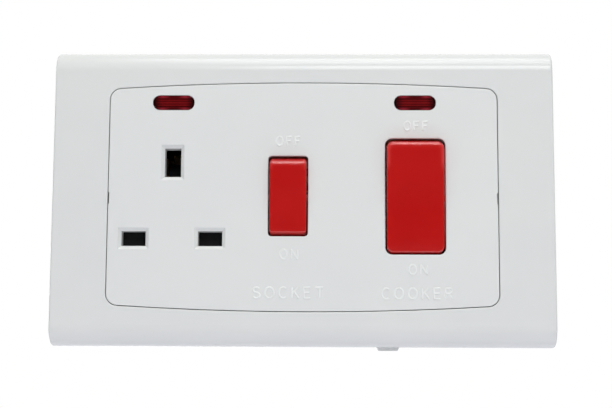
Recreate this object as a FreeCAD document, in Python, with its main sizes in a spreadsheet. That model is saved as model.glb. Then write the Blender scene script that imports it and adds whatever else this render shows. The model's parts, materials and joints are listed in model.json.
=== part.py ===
import FreeCAD, Part
import math
import os
import re

import Sketcher

# Cooker control unit: a wall plate with a switched three-pin socket outlet and a double-pole cooker switch.
# X runs to the right, Y into the wall and Z up. The wall plane is Y = 0 and the origin lies midway
# between the two fixing holes. The rockers stand at ON, with their lower ends pressed in.

SIZES = (
    # surround frame
    ("frame_width", 145.6, "surround, left to right"),
    ("frame_height", 86.5, "surround, bottom to top"),
    ("frame_depth", 9.0, "front face from the wall"),
    ("frame_wall", 2.0, "surround wall"),
    ("frame_edge", 0.7, "rounding of the end faces"),
    ("collar_wall", 1.2, "collar round the insert"),
    ("collar_play", 0.1, "collar to flange"),
    ("seam_gap", 0.2, "seam between surround and insert"),
    ("seam_edge", 0.3, "rounding along the seam"),
    ("tab_x", 24.8, "pry tab centre"),
    ("tab_width", 7.5, "pry tab"),
    ("tab_drop", 1.0, "pry tab below the lower edge"),
    ("tab_depth", 2.5, "pry tab from the wall"),
    ("clip_x", 40.0, "snap beads from the middle"),
    ("clip_length", 12.0, "snap bead"),
    ("clip_bite", 0.5, "snap bead behind the flange"),
    ("clip_foot", 0.1, "snap bead's start from the wall"),
    ("clip_peak", 0.66, "snap bead's crest from the wall"),
    ("clip_rise", 1.1, "snap bead's end from the wall"),
    # front plate
    ("frame_side", 16.4, "surround face at each end of the insert"),
    ("insert_width", "=frame_width - 2 * frame_side", "insert face"),
    ("insert_height", 66.6, "insert face at the middle"),
    ("roll_share", 0.6, "rolled part of the surround above and below the insert"),
    ("frame_roll", "=roll_share * (frame_height - insert_height) / 2", "rolled top and bottom edges"),
    ("insert_crown", 1.85, "bow of its upper and lower edges"),
    ("insert_corner", 3.3, "insert corner radius"),
    ("plate_wall", 2.5, "insert face thickness"),
    ("flange_thick", 3.0, "hidden flange"),
    ("flange_play", 0.4, "flange to surround"),
    ("rebate_depth", 1.4, "snap rebate at the back of the flange"),
    ("rebate_step", 0.9, "snap rebate inwards"),
    ("cavity_inset", 3.4, "insert end to the hollow behind the face"),
    ("cavity_drop", 5.3, "insert edge at the middle to that hollow"),
    ("cavity_width", "=insert_width - 2 * cavity_inset", "hollow behind the face, and inside the housing"),
    ("cavity_height", "=insert_height - 2 * cavity_drop", "hollow behind the face, and inside the housing"),
    ("fixing_beyond", 3.9, "wall box screws beyond the insert's ends"),
    ("fixing_pitch", "=insert_width + 2 * fixing_beyond", "wall box screw pitch"),
    ("fixing_radius", 2.2, "wall box screw hole"),
    ("head_room", 5.5, "half height of the screw head recess"),
    ("head_reach", 5.0, "screw head recess beyond the hole"),
    ("notch_z", -0.7, "release notch height"),
    ("notch_length", 3.3, "release notch"),
    ("notch_depth", 0.3, "release notch into the insert edge"),
    ("notch_drop", 1.5, "release notch below the face"),
    # socket outlet
    ("earth_z", 9.8, "earth slot height"),
    ("pin_spacing", 22.2, "pin pitch across and down"),
    ("slot_long", 7.0, "line and neutral slot width"),
    ("bar_side", 0.3, "shutter bar beyond the slots"),
    ("bar_clear", 0.3, "shutter bar to the end of the hollow"),
    ("bar_half", "=pin_spacing / 2 + slot_long / 2 + bar_side", "shutter bar half width"),
    ("socket_x", "=bar_half + bar_clear - cavity_width / 2", "socket centre line"),
    ("slot_short", 4.3, "line and neutral slot height"),
    ("earth_long", 8.4, "earth slot height"),
    ("earth_short", 4.7, "earth slot width"),
    ("slot_lead", 1.0, "bevel at the slot mouths"),
    ("socket_pad", 2.0, "thickening behind the slots"),
    ("pad_side", 1.6, "thickening beside the slots"),
    ("pad_margin", 5.0, "thickening beyond the slots"),
    # rockers
    ("socket_rocker_step", 33.6, "socket rocker from the socket centre line"),
    ("socket_rocker_x", "=socket_x + socket_rocker_step", "socket rocker centre"),
    ("socket_open_width", 11.5, "socket rocker opening"),
    ("socket_open_height", 23.4, "socket rocker opening"),
    ("socket_open_corner", 1.0, "socket rocker opening corner"),
    ("socket_throw", 11.0, "socket rocker travel in degrees"),
    ("cooker_inset", 23.8, "insert end to the cooker rocker centre"),
    ("cooker_rocker_x", "=insert_width / 2 - cooker_inset", "cooker rocker centre"),
    ("cooker_open_width", 17.4, "cooker rocker opening"),
    ("cooker_open_height", 33.8, "cooker rocker opening"),
    ("cooker_open_corner", 2.0, "cooker rocker opening corner"),
    ("cooker_throw", 10.0, "cooker rocker travel in degrees"),
    ("rocker_side_gap", 0.42, "rocker to opening, each side"),
    ("rocker_end_gap", 0.25, "rocker ends to the opening's inner edge"),
    ("rocker_edge", 0.35, "rounding round the rocker's face"),
    ("rocker_proud", 1.4, "level rocker above the face"),
    ("rocker_skirt", 5.0, "rocker walls behind its face"),
    ("rocker_wall", 1.4, "rocker walls"),
    ("rocker_face", 2.2, "rocker face thickness"),
    ("pivot_depth", 4.6, "rocker pivot from the wall"),
    ("pivot_radius", 1.1, "rocker pivot pin"),
    ("pivot_play", 0.05, "pin in its bearing"),
    ("ear_gap", 0.3, "bearing ear from the opening"),
    ("ear_thick", 2.0, "bearing ear"),
    ("ear_half", 2.4, "bearing ear round the pivot"),
    ("pole_offset", 5.5, "cooker switch poles from the middle"),
    ("post_radius", 2.4, "plunger post"),
    ("post_reach", 7.0, "plunger post behind the pivot"),
    ("plunger_radius", 1.4, "plunger"),
    ("plunger_nose", 1.37, "rounding of the plunger's nose"),
    ("plunger_play", 0.05, "plunger in its bore"),
    ("plunger_length", 11.0, "plunger"),
    ("plunger_gap", 0.15, "plunger tip to a level contact"),
    # moving contacts
    ("see_depth", 13.0, "contact pivot behind the wall plane"),
    ("see_arm", 9.0, "contact arm"),
    ("see_thick", 1.2, "contact strip"),
    ("see_width", 5.0, "contact strip"),
    ("see_angle", 10.5, "contact arm angle, and half its travel, in degrees"),
    ("see_pin", 0.9, "contact pivot pin"),
    ("see_pin_play", 0.05, "pin in its cradle"),
    ("cradle_gap", 0.4, "cradle ear from the strip"),
    ("cradle_thick", 1.0, "cradle ear"),
    ("cradle_half", 2.2, "cradle ear half height"),
    ("cradle_lip", 0.8, "cradle ear in front of the pivot"),
    ("tip_radius", 1.6, "silver tip"),
    ("tip_height", 0.8, "silver tip"),
    ("tip_place", 7.4, "silver tip from the pivot"),
    ("tip_gap", 0.05, "closed tips"),
    # brass strips
    ("strip_thick", 1.0, "brass strip"),
    ("strip_width", 4.0, "brass strip"),
    ("run_width", 3.0, "neutral strip along the lower side"),
    ("run_clear", 0.1, "neutral strip to the screw columns"),
    ("solder_pad", 2.0, "strip beyond the leaves, for a lamp lead"),
    ("leaf_thick", 0.8, "contact leaf"),
    ("leaf_width", 6.0, "contact leaf"),
    ("leaf_root", 5.0, "leaf spacing at the strip"),
    ("leaf_grip", 3.6, "leaf spacing where it grips"),
    ("leaf_mouth", 5.4, "leaf spacing at the mouth"),
    ("leaf_grip_y", 7.0, "grip line behind the wall plane"),
    ("leaf_mouth_y", 3.4, "mouth behind the wall plane"),
    # rear housing
    ("house_depth", 24.0, "housing behind the wall plane"),
    ("house_wall", 2.0, "housing wall"),
    ("house_corner", 2.5, "housing corner radius"),
    ("house_edge", 1.0, "housing rear edge radius"),
    ("rib_thick", 1.5, "ribs between the poles"),
    ("rib_front", 4.0, "ribs from the wall plane"),
    ("screw_inset", 2.8, "housing screws from the ends of the hollow"),
    ("screw_drop", 2.2, "housing screws from its upper and lower sides"),
    ("screw_x", "=cavity_width / 2 - screw_inset", "housing screws from the middle"),
    ("screw_z", "=cavity_height / 2 - screw_drop", "housing screws from the middle"),
    ("column_radius", 3.2, "screw columns"),
    ("screw_radius", 1.25, "housing screw"),
    ("screw_play", 0.1, "housing screw in its hole"),
    ("screw_tip", 5.0, "housing screw into the plate"),
    ("screw_head", 2.4, "housing screw head radius"),
    ("screw_head_high", 1.4, "housing screw head"),
    ("driver_slot", 0.6, "screwdriver slot width"),
    ("driver_depth", 0.7, "screwdriver slot depth"),
    ("driver_reach", 1.7, "arms of the screwdriver cross"),
    ("head_play", 0.3, "screw heads in their recesses"),
    # terminals
    ("block_width", 8.4, "terminal block"),
    ("block_in", 18.0, "terminal blocks from the middle"),
    ("block_front", 10.0, "terminal block behind the wall plane"),
    ("tunnel_radius", 3.2, "cable tunnel"),
    ("tunnel_end", 2.0, "brass beyond the cable tunnel"),
    ("tunnel_depth", "=cavity_height / 2 - block_in - tunnel_end", "cable tunnel"),
    ("tunnel_y", 15.0, "cable tunnel behind the wall plane"),
    ("cable_half", 3.8, "cable notch half width"),
    ("fin_reach", 3.0, "barrier fins beyond the housing wall"),
    ("clamp_radius", 1.75, "terminal screw"),
    ("clamp_play", 0.05, "terminal screw in its thread"),
    ("clamp_head", 2.7, "terminal screw head radius"),
    ("clamp_back_off", 0.3, "open terminal screw from the tunnel"),
    ("earth_x", 4.0, "earth terminal centre"),
    ("earth_pitch", 10.0, "earth tunnels"),
    # shutter
    ("shutter_thick", 2.4, "shutter"),
    ("shutter_play", 0.2, "shutter to the face"),
    ("shutter_travel", 5.6, "shutter travel"),
    ("bar_over", 0.75, "shutter bar over the slots"),
    ("bar_under", 1.05, "shutter bar below the slots"),
    ("stem_half", 3.5, "shutter stem half width"),
    ("stem_gap", 0.2, "shutter stem below the earth slot"),
    ("ramp_width", 3.6, "shutter ramp"),
    ("ramp_run", 7.0, "shutter ramp, front to back"),
    ("ramp_web", 4.4, "shutter ramp thickness"),
    ("guide_gap", 0.25, "shutter guides"),
    ("guide_thick", 1.5, "shutter guides"),
    ("guide_length", 13.0, "shutter guides"),
    ("hook_over", 0.8, "guide hooks behind the shutter stem"),
    ("hook_thick", 0.8, "guide hooks"),
    ("seat_half", 3.0, "spring seat half width"),
    ("seat_rise", 2.0, "spring seat above the cavity edge"),
    # springs
    ("coil_wire", 0.22, "spring wire radius"),
    ("coil_radius", 1.1, "plunger spring mean radius"),
    ("coil_turns", 6.0, "plunger spring"),
    ("return_radius", 1.0, "shutter spring mean radius"),
    ("return_turns", 6.0, "shutter spring"),
    # neon indicators
    ("lens_drop", 5.85, "neon window below the insert's upper edge"),
    ("lens_z", "=insert_height / 2 - lens_drop", "neon window height"),
    ("lens_width", 12.2, "neon window opening"),
    ("lens_height", 4.45, "neon window opening"),
    ("lens_round", 2.1, "neon window end radius"),
    ("lens_play", 0.12, "lens in its opening"),
    ("lens_sink", 0.1, "lens below the face"),
    ("lens_seat", 0.3, "lens flange let into the back of the face"),
    ("lens_lip", 1.0, "lens flange overhang"),
    ("lens_lip_thick", 1.0, "lens flange"),
    ("lens_rib_pitch", 0.75, "lens ribs"),
    ("lens_rib_width", 0.4, "groove between lens ribs"),
    ("lens_rib_depth", 0.5, "groove between lens ribs"),
    ("lamp_half", 8.0, "lamp pocket half width"),
    ("lamp_radius", 2.1, "neon lamp"),
    ("lamp_length", 9.0, "neon lamp"),
    ("lamp_depth", 2.6, "neon lamp from the wall plane"),
    ("lamp_drop", 0.8, "neon lamp below its window"),
    ("lead_radius", 0.3, "lamp lead"),
    ("lead_run", 17.0, "long lamp lead behind the wall plane"),
    ("lead_out", 4.2, "lamp lead beyond the lamp"),
    ("resistor_radius", 1.1, "resistor"),
    ("resistor_length", 6.3, "resistor"),
    ("resistor_y", 0.6, "resistor behind the wall plane"),
)

# Places that several pieces share, worked out from the sizes above.
LINE_Z = "(earth_z - pin_spacing)"
FLOOR = "(house_depth - house_wall)"
STRIP_TOP = "(house_depth - house_wall - strip_thick)"
SPLIT = "(tunnel_y - cable_half)"
INNER_FACE = "(frame_depth - plate_wall)"
LENS_FACE = "(frame_depth - plate_wall + lens_seat)"
SOCKET_BACK = "(frame_depth - plate_wall - socket_pad)"
REACH = "(frame_depth + rocker_proud - pivot_depth)"
FIXED_Y = "(see_depth + 2 * tip_height + tip_gap)"
LINK_LOW = "(tip_place - strip_width / 2)"
LINK_HIGH = "(tip_place + strip_width / 2)"
BAR_LOW = f"({LINE_Z} - slot_short / 2 - bar_under)"
BAR_HIGH = f"({LINE_Z} + slot_short / 2 + bar_over)"
STEM_TOP = "(earth_z - earth_long / 2 - stem_gap)"
LAMP_Z = "(lens_z - lamp_drop)"
LINE_X = "(socket_x + pin_spacing / 2)"
NEUTRAL_X = "(socket_x - pin_spacing / 2)"
POLE_X = {"neutral": "(cooker_rocker_x - pole_offset)", "line": "(cooker_rocker_x + pole_offset)"}
EARTH_TUNNELS = ("(earth_x - earth_pitch / 2)", "(earth_x + earth_pitch / 2)")
SCREW_PLACES = [(f"{a} * screw_x", f"{b} * screw_z") for a in (-1, 1) for b in (-1, 1)]
ROCKERS = {"socket": "socket_rocker_x", "cooker": "cooker_rocker_x"}
LENS_GROOVES = (-2, -1, 0, 1, 2)
COIL_SIDES = 6
COIL_STEPS = 12

ALIAS = re.compile(r"\b[a-z]+(?:_[a-z]+)+\b")
ROD_TURN = {
    "x": FreeCAD.Rotation(FreeCAD.Vector(0, 1, 0), 90),
    "y": FreeCAD.Rotation(FreeCAD.Vector(1, 0, 0), -90),
    "z": FreeCAD.Rotation(),
}

doc = FreeCAD.newDocument("CookerControlUnit")
sheet = doc.addObject("Spreadsheet::Sheet", "Sizes")
for row, (alias, number, note) in enumerate(SIZES, start=1):
    sheet.set(f"A{row}", note)
    sheet.set(f"B{row}", str(number))
    sheet.setAlias(f"B{row}", alias)
doc.recompute()
pieces = []


def sized(text):
    """An expression whose names are read from the sheet."""
    return ALIAS.sub(lambda name: "Sizes." + name.group(), str(text))


def value(text):
    """The present number behind an expression."""
    return float(sheet.evalExpression(sized(text)))


def bind(thing, **properties):
    """Ties properties to expressions. A double underscore stands for a dot."""
    for name, text in properties.items():
        thing.setExpression(name.replace("__", "."), sized(text))
    return thing


def piece(thing, name):
    """Marks an object as one of the finished pieces."""
    thing.Label = name
    pieces.append(thing)
    return thing


# Solids made from primitives

def block(x, y, z):
    """A box between two limits on each axis."""
    box = doc.addObject("Part::Box", "block")
    for side, axis, (low, high) in (("Length", "x", x), ("Width", "y", y), ("Height", "z", z)):
        bind(box, **{side: f"({high}) - ({low})", f"Placement__Base__{axis}": low})
    return box


def rod(axis, radius, span, centre):
    """A round bar along an axis. The centre is given on the other two axes in order."""
    bar = doc.addObject("Part::Cylinder", "rod")
    bar.Placement.Rotation = ROD_TURN[axis]
    low, high = span
    across = [name for name in "xyz" if name != axis]
    bind(bar, Radius=radius, Height=f"({high}) - ({low})")
    bind(bar, **{f"Placement__Base__{axis}": low})
    bind(bar, **{f"Placement__Base__{name}": place for name, place in zip(across, centre)})
    return bar


def ball(radius, centre):
    """A sphere at a point."""
    sphere = doc.addObject("Part::Sphere", "ball")
    x, y, z = centre
    return bind(sphere, Radius=radius, Placement__Base__x=x, Placement__Base__y=y, Placement__Base__z=z)


def join(*solids):
    """Several solids made one, or kept as a group where they don't touch."""
    if len(solids) == 1:
        return solids[0]
    fuse = doc.addObject("Part::MultiFuse", "join")
    fuse.Shapes = list(solids)
    fuse.Refine = True
    return fuse


def cut(solid, *tools):
    """A solid with others taken out of it."""
    result = doc.addObject("Part::Cut", "cut")
    result.Base = solid
    result.Tool = join(*tools)
    result.Refine = True
    return result


def about(middle, half):
    """The two limits either side of a middle."""
    return f"({middle}) - ({half})", f"({middle}) + ({half})"


# Bodies made from sketches

def body_named(name):
    return piece(doc.addObject("PartDesign::Body", name), name)


def sketch_on(body, plane, offset="0"):
    """An empty sketch on one of the body's own planes, moved along that plane's normal."""
    sketch = body.newObject("Sketcher::SketchObject", f"{body.Name}_sketch")
    support = [item for item in body.Origin.OriginFeatures if item.Role == plane][0]
    sketch.AttachmentSupport = (support, "")
    sketch.MapMode = "FlatFace"
    bind(sketch, AttachmentOffset__Base__z=offset)
    return sketch


def hold(sketch, kind, text, *places):
    """One driven constraint of a sketch."""
    index = sketch.addConstraint(Sketcher.Constraint(kind, *places, value(text)))
    bind(sketch, **{f"Constraints[{index}]": text})


def outline(sketch, points):
    """A closed outline, drawn counter-clockwise. A third entry is the radius of an arc to the next point."""
    count = len(points)
    first = sketch.GeometryCount
    spots = [FreeCAD.Vector(value(point[0]), value(point[1]), 0) for point in points]
    for index, point in enumerate(points):
        start, end = spots[index], spots[(index + 1) % count]
        if len(point) == 2:
            sketch.addGeometry(Part.LineSegment(start, end))
            continue
        chord = end - start
        radius = value(point[2])
        rise = radius - math.sqrt(max(radius ** 2 - chord.Length ** 2 / 4, 0))
        outward = FreeCAD.Vector(chord.y, -chord.x, 0).normalize()
        sketch.addGeometry(Part.Arc(start, (start + end) / 2 + outward * rise, end))
    for index, point in enumerate(points):
        edge = first + index
        sketch.addConstraint(Sketcher.Constraint("Coincident", edge, 2, first + (index + 1) % count, 1))
        hold(sketch, "DistanceX", point[0], -1, 1, edge, 1)
        hold(sketch, "DistanceY", point[1], -1, 1, edge, 1)
        if len(point) == 3:
            hold(sketch, "Radius", point[2], edge)
    return sketch


def rectangle(sketch, x, z):
    """A plain rectangle between two limits each way."""
    (left, right), (low, high) = x, z
    return outline(sketch, [(left, low), (right, low), (right, high), (left, high)])


def rounded(sketch, x, z, corner):
    """A rectangle with round corners."""
    (left, right), (low, high) = x, z
    return outline(sketch, [
        (f"{left} + {corner}", low), (f"{right} - {corner}", low, corner),
        (right, f"{low} + {corner}"), (right, f"{high} - {corner}", corner),
        (f"{right} - {corner}", high), (f"{left} + {corner}", high, corner),
        (left, f"{high} - {corner}"), (left, f"{low} + {corner}", corner),
    ])


def circle(sketch, radius, x="0", z="0"):
    """A circle about a point."""
    spot = FreeCAD.Vector(value(x), value(z), 0)
    index = sketch.addGeometry(Part.Circle(spot, FreeCAD.Vector(0, 0, 1), value(radius)))
    hold(sketch, "Radius", radius, index)
    hold(sketch, "DistanceX", x, -1, 1, index, 3)
    hold(sketch, "DistanceY", z, -1, 1, index, 3)
    return sketch


def pad(body, sketch, length, back=False, middle=False):
    """Adds a prism on a sketch, along the plane's normal, backwards or to both sides."""
    feature = body.newObject("PartDesign::Pad", f"{body.Name}_pad")
    feature.Profile = sketch
    feature.Reversed = back
    feature.Midplane = middle
    return bind(feature, Length=length)


def pocket(body, sketch, length, back=False, middle=False):
    """Takes out a prism on a sketch and makes sure that it took something."""
    before = volume_of(body)
    feature = body.newObject("PartDesign::Pocket", f"{body.Name}_pocket")
    feature.Profile = sketch
    feature.Reversed = not back
    feature.Midplane = middle
    bind(feature, Length=length)
    if volume_of(body) >= before:
        raise RuntimeError(f"a pocket of {body.Label} cuts nothing")
    return feature


def volume_of(body):
    doc.recompute()
    return body.Tip.Shape.Volume


def dress(body, kind, size, chosen):
    """Rounds or bevels the edges that a test picks out."""
    doc.recompute()
    base = body.Tip
    names = [f"Edge{n}" for n, edge in enumerate(base.Shape.Edges, start=1) if chosen(edge)]
    feature = body.newObject(f"PartDesign::{kind}", f"{body.Name}_{kind.lower()}")
    feature.Base = (base, names)
    return bind(feature, **{"Radius" if kind == "Fillet" else "Size": size})


def near(a, b):
    return abs(a - b) < 1e-4


def lies_on(edge, axis, place):
    """Whether an edge lies in a plane across an axis."""
    box = edge.BoundBox
    return near(getattr(box, axis + "Min"), place) and near(getattr(box, axis + "Max"), place)


def within(edge, x, z):
    """Whether an edge's middle lies between limits in X and Z."""
    middle = edge.BoundBox.Center
    return x[0] < middle.x < x[1] and z[0] < middle.z < z[1]


def along_y(edge):
    """Whether an edge is straight and runs from front to back."""
    box = edge.BoundBox
    return box.XLength < 1e-4 and box.ZLength < 1e-4


def insert_outline(sketch, grow):
    """The insert's outline: straight sides with bowed upper and lower edges, grown all round."""
    half = f"(insert_width / 2 + {grow})"
    side = f"(insert_height / 2 - insert_crown + {grow})"
    bow = f"(({half}^2 + insert_crown^2) / (2 * insert_crown))"
    return outline(sketch, [
        (f"-{half}", f"-{side}", bow), (half, f"-{side}"),
        (half, side, bow), (f"-{half}", side),
    ])


def insert_corner_edge(edge, grow):
    """Whether an edge is one of the insert outline's four corners."""
    middle = edge.BoundBox.Center
    half = value(f"insert_width / 2 + {grow}")
    return along_y(edge) and near(abs(middle.x), half)


# Surround frame

def make_surround_frame():
    body = body_named("surround_frame")
    side = "frame_height / 2"
    shoulder = "-(frame_depth - frame_roll)"
    pad(body, outline(sketch_on(body, "YZ_Plane"), [
        ("0", f"-{side}"), ("0", side), (shoulder, side, "frame_roll"),
        ("-frame_depth", f"{side} - frame_roll"), ("-frame_depth", f"-({side} - frame_roll)", "frame_roll"),
        (shoulder, f"-{side}"),
    ]), "frame_width", middle=True)
    end = value("frame_width / 2")
    dress(body, "Fillet", "frame_edge",
          lambda e: (lies_on(e, "X", end) or lies_on(e, "X", -end)) and not lies_on(e, "Y", 0))
    hollow = f"({side} - frame_wall)"
    bend = "frame_roll - frame_wall"
    pocket(body, outline(sketch_on(body, "YZ_Plane"), [
        ("frame_wall", f"-{hollow}"), ("frame_wall", hollow), (shoulder, hollow, bend),
        ("-(frame_depth - frame_wall)", f"{side} - frame_roll"),
        ("-(frame_depth - frame_wall)", f"-({side} - frame_roll)", bend),
        (shoulder, f"-{hollow}"),
    ]), "frame_width - 2 * frame_wall", middle=True)
    collar_back = "flange_thick + collar_play"
    pad(body, insert_outline(sketch_on(body, "XZ_Plane", collar_back), "(seam_gap + collar_wall)"),
        f"frame_depth - frame_wall / 2 - ({collar_back})")
    pocket(body, insert_outline(sketch_on(body, "XZ_Plane"), "seam_gap"), "frame_depth")
    dress(body, "Fillet", "insert_corner + seam_gap", lambda e: insert_corner_edge(e, "seam_gap"))
    front = -value("frame_depth")
    limit_x = value("insert_width / 2 + 2 * seam_gap")
    limit_z = value("insert_height / 2 + 2 * seam_gap")
    dress(body, "Fillet", "seam_edge",
          lambda e: lies_on(e, "Y", front) and within(e, (-limit_x, limit_x), (-limit_z, limit_z)))
    recess = sketch_on(body, "XZ_Plane")
    inner, outer = "(insert_width / 2 - collar_wall)", "(fixing_pitch / 2 + head_reach)"
    rectangle(recess, (inner, outer), ("-head_room", "head_room"))
    rectangle(recess, (f"-{outer}", f"-{inner}"), ("-head_room", "head_room"))
    pocket(body, recess, "frame_depth - frame_wall")
    for sign in (1, -1):
        for place in ("clip_x", "-clip_x"):
            bite = f"({hollow} - flange_play - clip_bite)"
            root = f"({hollow} + frame_wall / 2)"
            points = [("-clip_foot", root), ("-clip_rise", root), ("-clip_rise", hollow),
                      ("-clip_peak", bite), ("-clip_foot", hollow)]
            if sign < 0:
                points = [(y, f"-{z}") for y, z in reversed(points)]
            pad(body, outline(sketch_on(body, "YZ_Plane", place), points), "clip_length", middle=True)
    low, root = f"-({side} + tab_drop)", f"-({side} - frame_wall / 2)"
    left, right = about("tab_x", "tab_width / 2")
    pad(body, outline(sketch_on(body, "XZ_Plane"), [
        (f"{left} + tab_drop", low), (f"{right} - tab_drop", low), (right, root), (left, root),
    ]), "tab_depth")


# Front plate

def make_front_plate():
    body = body_named("front_plate")
    face = -value("frame_depth")
    pad(body, insert_outline(sketch_on(body, "XZ_Plane"), "0"), "frame_depth")
    dress(body, "Fillet", "insert_corner", lambda e: insert_corner_edge(e, "0"))
    dress(body, "Fillet", "seam_edge", lambda e: lies_on(e, "Y", face))
    half = "(frame_width / 2 - frame_wall - flange_play)"
    tall = "(frame_height / 2 - frame_wall - flange_play)"
    rectangle_about(body, "0", f"{half} - rebate_step", f"{tall} - rebate_step", "rebate_depth")
    rectangle_about(body, "rebate_depth", half, tall, "flange_thick - rebate_depth")
    pocket(body, rectangle(sketch_on(body, "XZ_Plane"), about("0", "cavity_width / 2"),
                           about("0", "cavity_height / 2")), INNER_FACE)
    lamps = sketch_on(body, "XZ_Plane")
    for x in ("socket_x", "cooker_rocker_x"):
        rectangle(lamps, about(x, "lamp_half"),
                  about("lens_z", "lens_height / 2 + lens_lip + 2 * lens_play"))
    pocket(body, lamps, LENS_FACE)
    add_socket_features(body, face)
    add_rocker_openings(body, face)
    windows = sketch_on(body, "XZ_Plane")
    for x in ("socket_x", "cooker_rocker_x"):
        rounded(windows, about(x, "lens_width / 2"), about("lens_z", "lens_height / 2"), "lens_round")
    pocket(body, windows, "frame_depth")
    bosses = sketch_on(body, "XZ_Plane")
    pilots = sketch_on(body, "XZ_Plane")
    for x, z in SCREW_PLACES:
        circle(bosses, "column_radius", x, z)
        circle(pilots, "screw_radius + screw_play", x, z)
    pad(body, bosses, f"{INNER_FACE} + plate_wall / 2")
    pocket(body, pilots, "screw_tip + screw_play")
    holes = sketch_on(body, "XZ_Plane")
    for sign in (-1, 1):
        circle(holes, "fixing_radius", f"{sign} * fixing_pitch / 2")
    pocket(body, holes, "flange_thick")
    notch = sketch_on(body, "XZ_Plane", "frame_depth - notch_drop")
    inner, outer = "(insert_width / 2 - notch_depth)", "(insert_width / 2 + seam_gap)"
    rectangle(notch, (inner, outer), about("notch_z", "notch_length / 2"))
    rectangle(notch, (f"-{outer}", f"-{inner}"), about("notch_z", "notch_length / 2"))
    pocket(body, notch, "notch_drop")


def rectangle_about(body, offset, half, tall, length):
    """A slab centred on the plate."""
    pad(body, rectangle(sketch_on(body, "XZ_Plane", offset), about("0", half), about("0", tall)), length)


def add_socket_features(body, face):
    """The thickened slot area, bevelled slots, shutter guides and spring seat."""
    pad(body, rectangle(
        sketch_on(body, "XZ_Plane", SOCKET_BACK), about("socket_x", "bar_half - bar_side + pad_side"),
        (f"{LINE_Z} - slot_short / 2 - pad_margin", "earth_z + earth_long / 2 + pad_margin / 2"),
    ), "socket_pad + plate_wall / 2")
    slots = sketch_on(body, "XZ_Plane")
    for x in (LINE_X, NEUTRAL_X):
        rectangle(slots, about(x, "slot_long / 2"), about(LINE_Z, "slot_short / 2"))
    rectangle(slots, about("socket_x", "earth_short / 2"), about("earth_z", "earth_long / 2"))
    pocket(body, slots, "frame_depth")
    reach_x = (value(f"{NEUTRAL_X} - slot_long"), value(f"{LINE_X} + slot_long"))
    reach_z = (value(f"{LINE_Z} - slot_short"), value("earth_z + slot_short + slot_long / 2"))
    dress(body, "Chamfer", "slot_lead", lambda e: lies_on(e, "Y", face) and within(e, reach_x, reach_z))
    stem_back = f"({SOCKET_BACK} - shutter_play - shutter_thick)"
    hook_back = f"({stem_back} - shutter_play - hook_thick)"
    gap, inside = "(stem_half + guide_gap)", "(stem_half - hook_over)"
    outside = f"({gap} + guide_thick)"
    tall = (f"{STEM_TOP} - guide_length", STEM_TOP)
    for start, length in ((gap, f"{SOCKET_BACK} + socket_pad / 2 - {hook_back}"), (inside, "hook_thick")):
        guides = sketch_on(body, "XZ_Plane", hook_back)
        rectangle(guides, (f"socket_x + {start}", f"socket_x + {outside}"), tall)
        rectangle(guides, (f"socket_x - {outside}", f"socket_x - {start}"), tall)
        pad(body, guides, length)
    seat = sketch_on(body, "XZ_Plane", stem_back)
    rectangle(seat, about("socket_x", "seat_half"),
              ("-cavity_height / 2 - seat_rise", "-cavity_height / 2 + seat_rise"))
    pad(body, seat, f"frame_depth - plate_wall / 2 - {stem_back}")


def add_rocker_openings(body, face):
    """Both rocker openings, with the bearing ears behind their sides."""
    for name, x in ROCKERS.items():
        half, tall = f"{name}_open_width / 2", f"{name}_open_height / 2"
        pocket(body, rounded(sketch_on(body, "XZ_Plane"), about(x, half), about("0", tall),
                             f"{name}_open_corner"), "frame_depth")
        reach_x = [value(limit) for limit in about(x, f"{half} + seam_edge")]
        reach_z = [value(limit) for limit in about("0", f"{tall} + seam_edge")]
        dress(body, "Fillet", "seam_edge",
              lambda e, wide=reach_x, high=reach_z: lies_on(e, "Y", face) and within(e, wide, high))
        ears = sketch_on(body, "XZ_Plane", "pivot_depth - ear_half")
        inner, outer = f"({half} + ear_gap)", f"({half} + ear_gap + ear_thick)"
        rectangle(ears, (f"{x} + {inner}", f"{x} + {outer}"), about("0", "ear_half"))
        rectangle(ears, (f"{x} - {outer}", f"{x} - {inner}"), about("0", "ear_half"))
        pad(body, ears, "frame_depth - plate_wall / 2 - pivot_depth + ear_half")
        bearing = circle(sketch_on(body, "YZ_Plane", x), "pivot_radius + pivot_play", "-pivot_depth")
        pocket(body, bearing, f"2 * {outer}", middle=True)


# Rockers, with their plungers and see-saw contacts

def tilt_on(thing, x, depth, angle):
    """Puts a piece on a pivot line across the plate, turned about it."""
    thing.Placement = FreeCAD.Placement(FreeCAD.Vector(), FreeCAD.Rotation(FreeCAD.Vector(1, 0, 0), 1))
    return bind(thing, Placement__Base__x=x, Placement__Base__y=depth, Placement__Rotation__Angle=angle)


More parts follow.
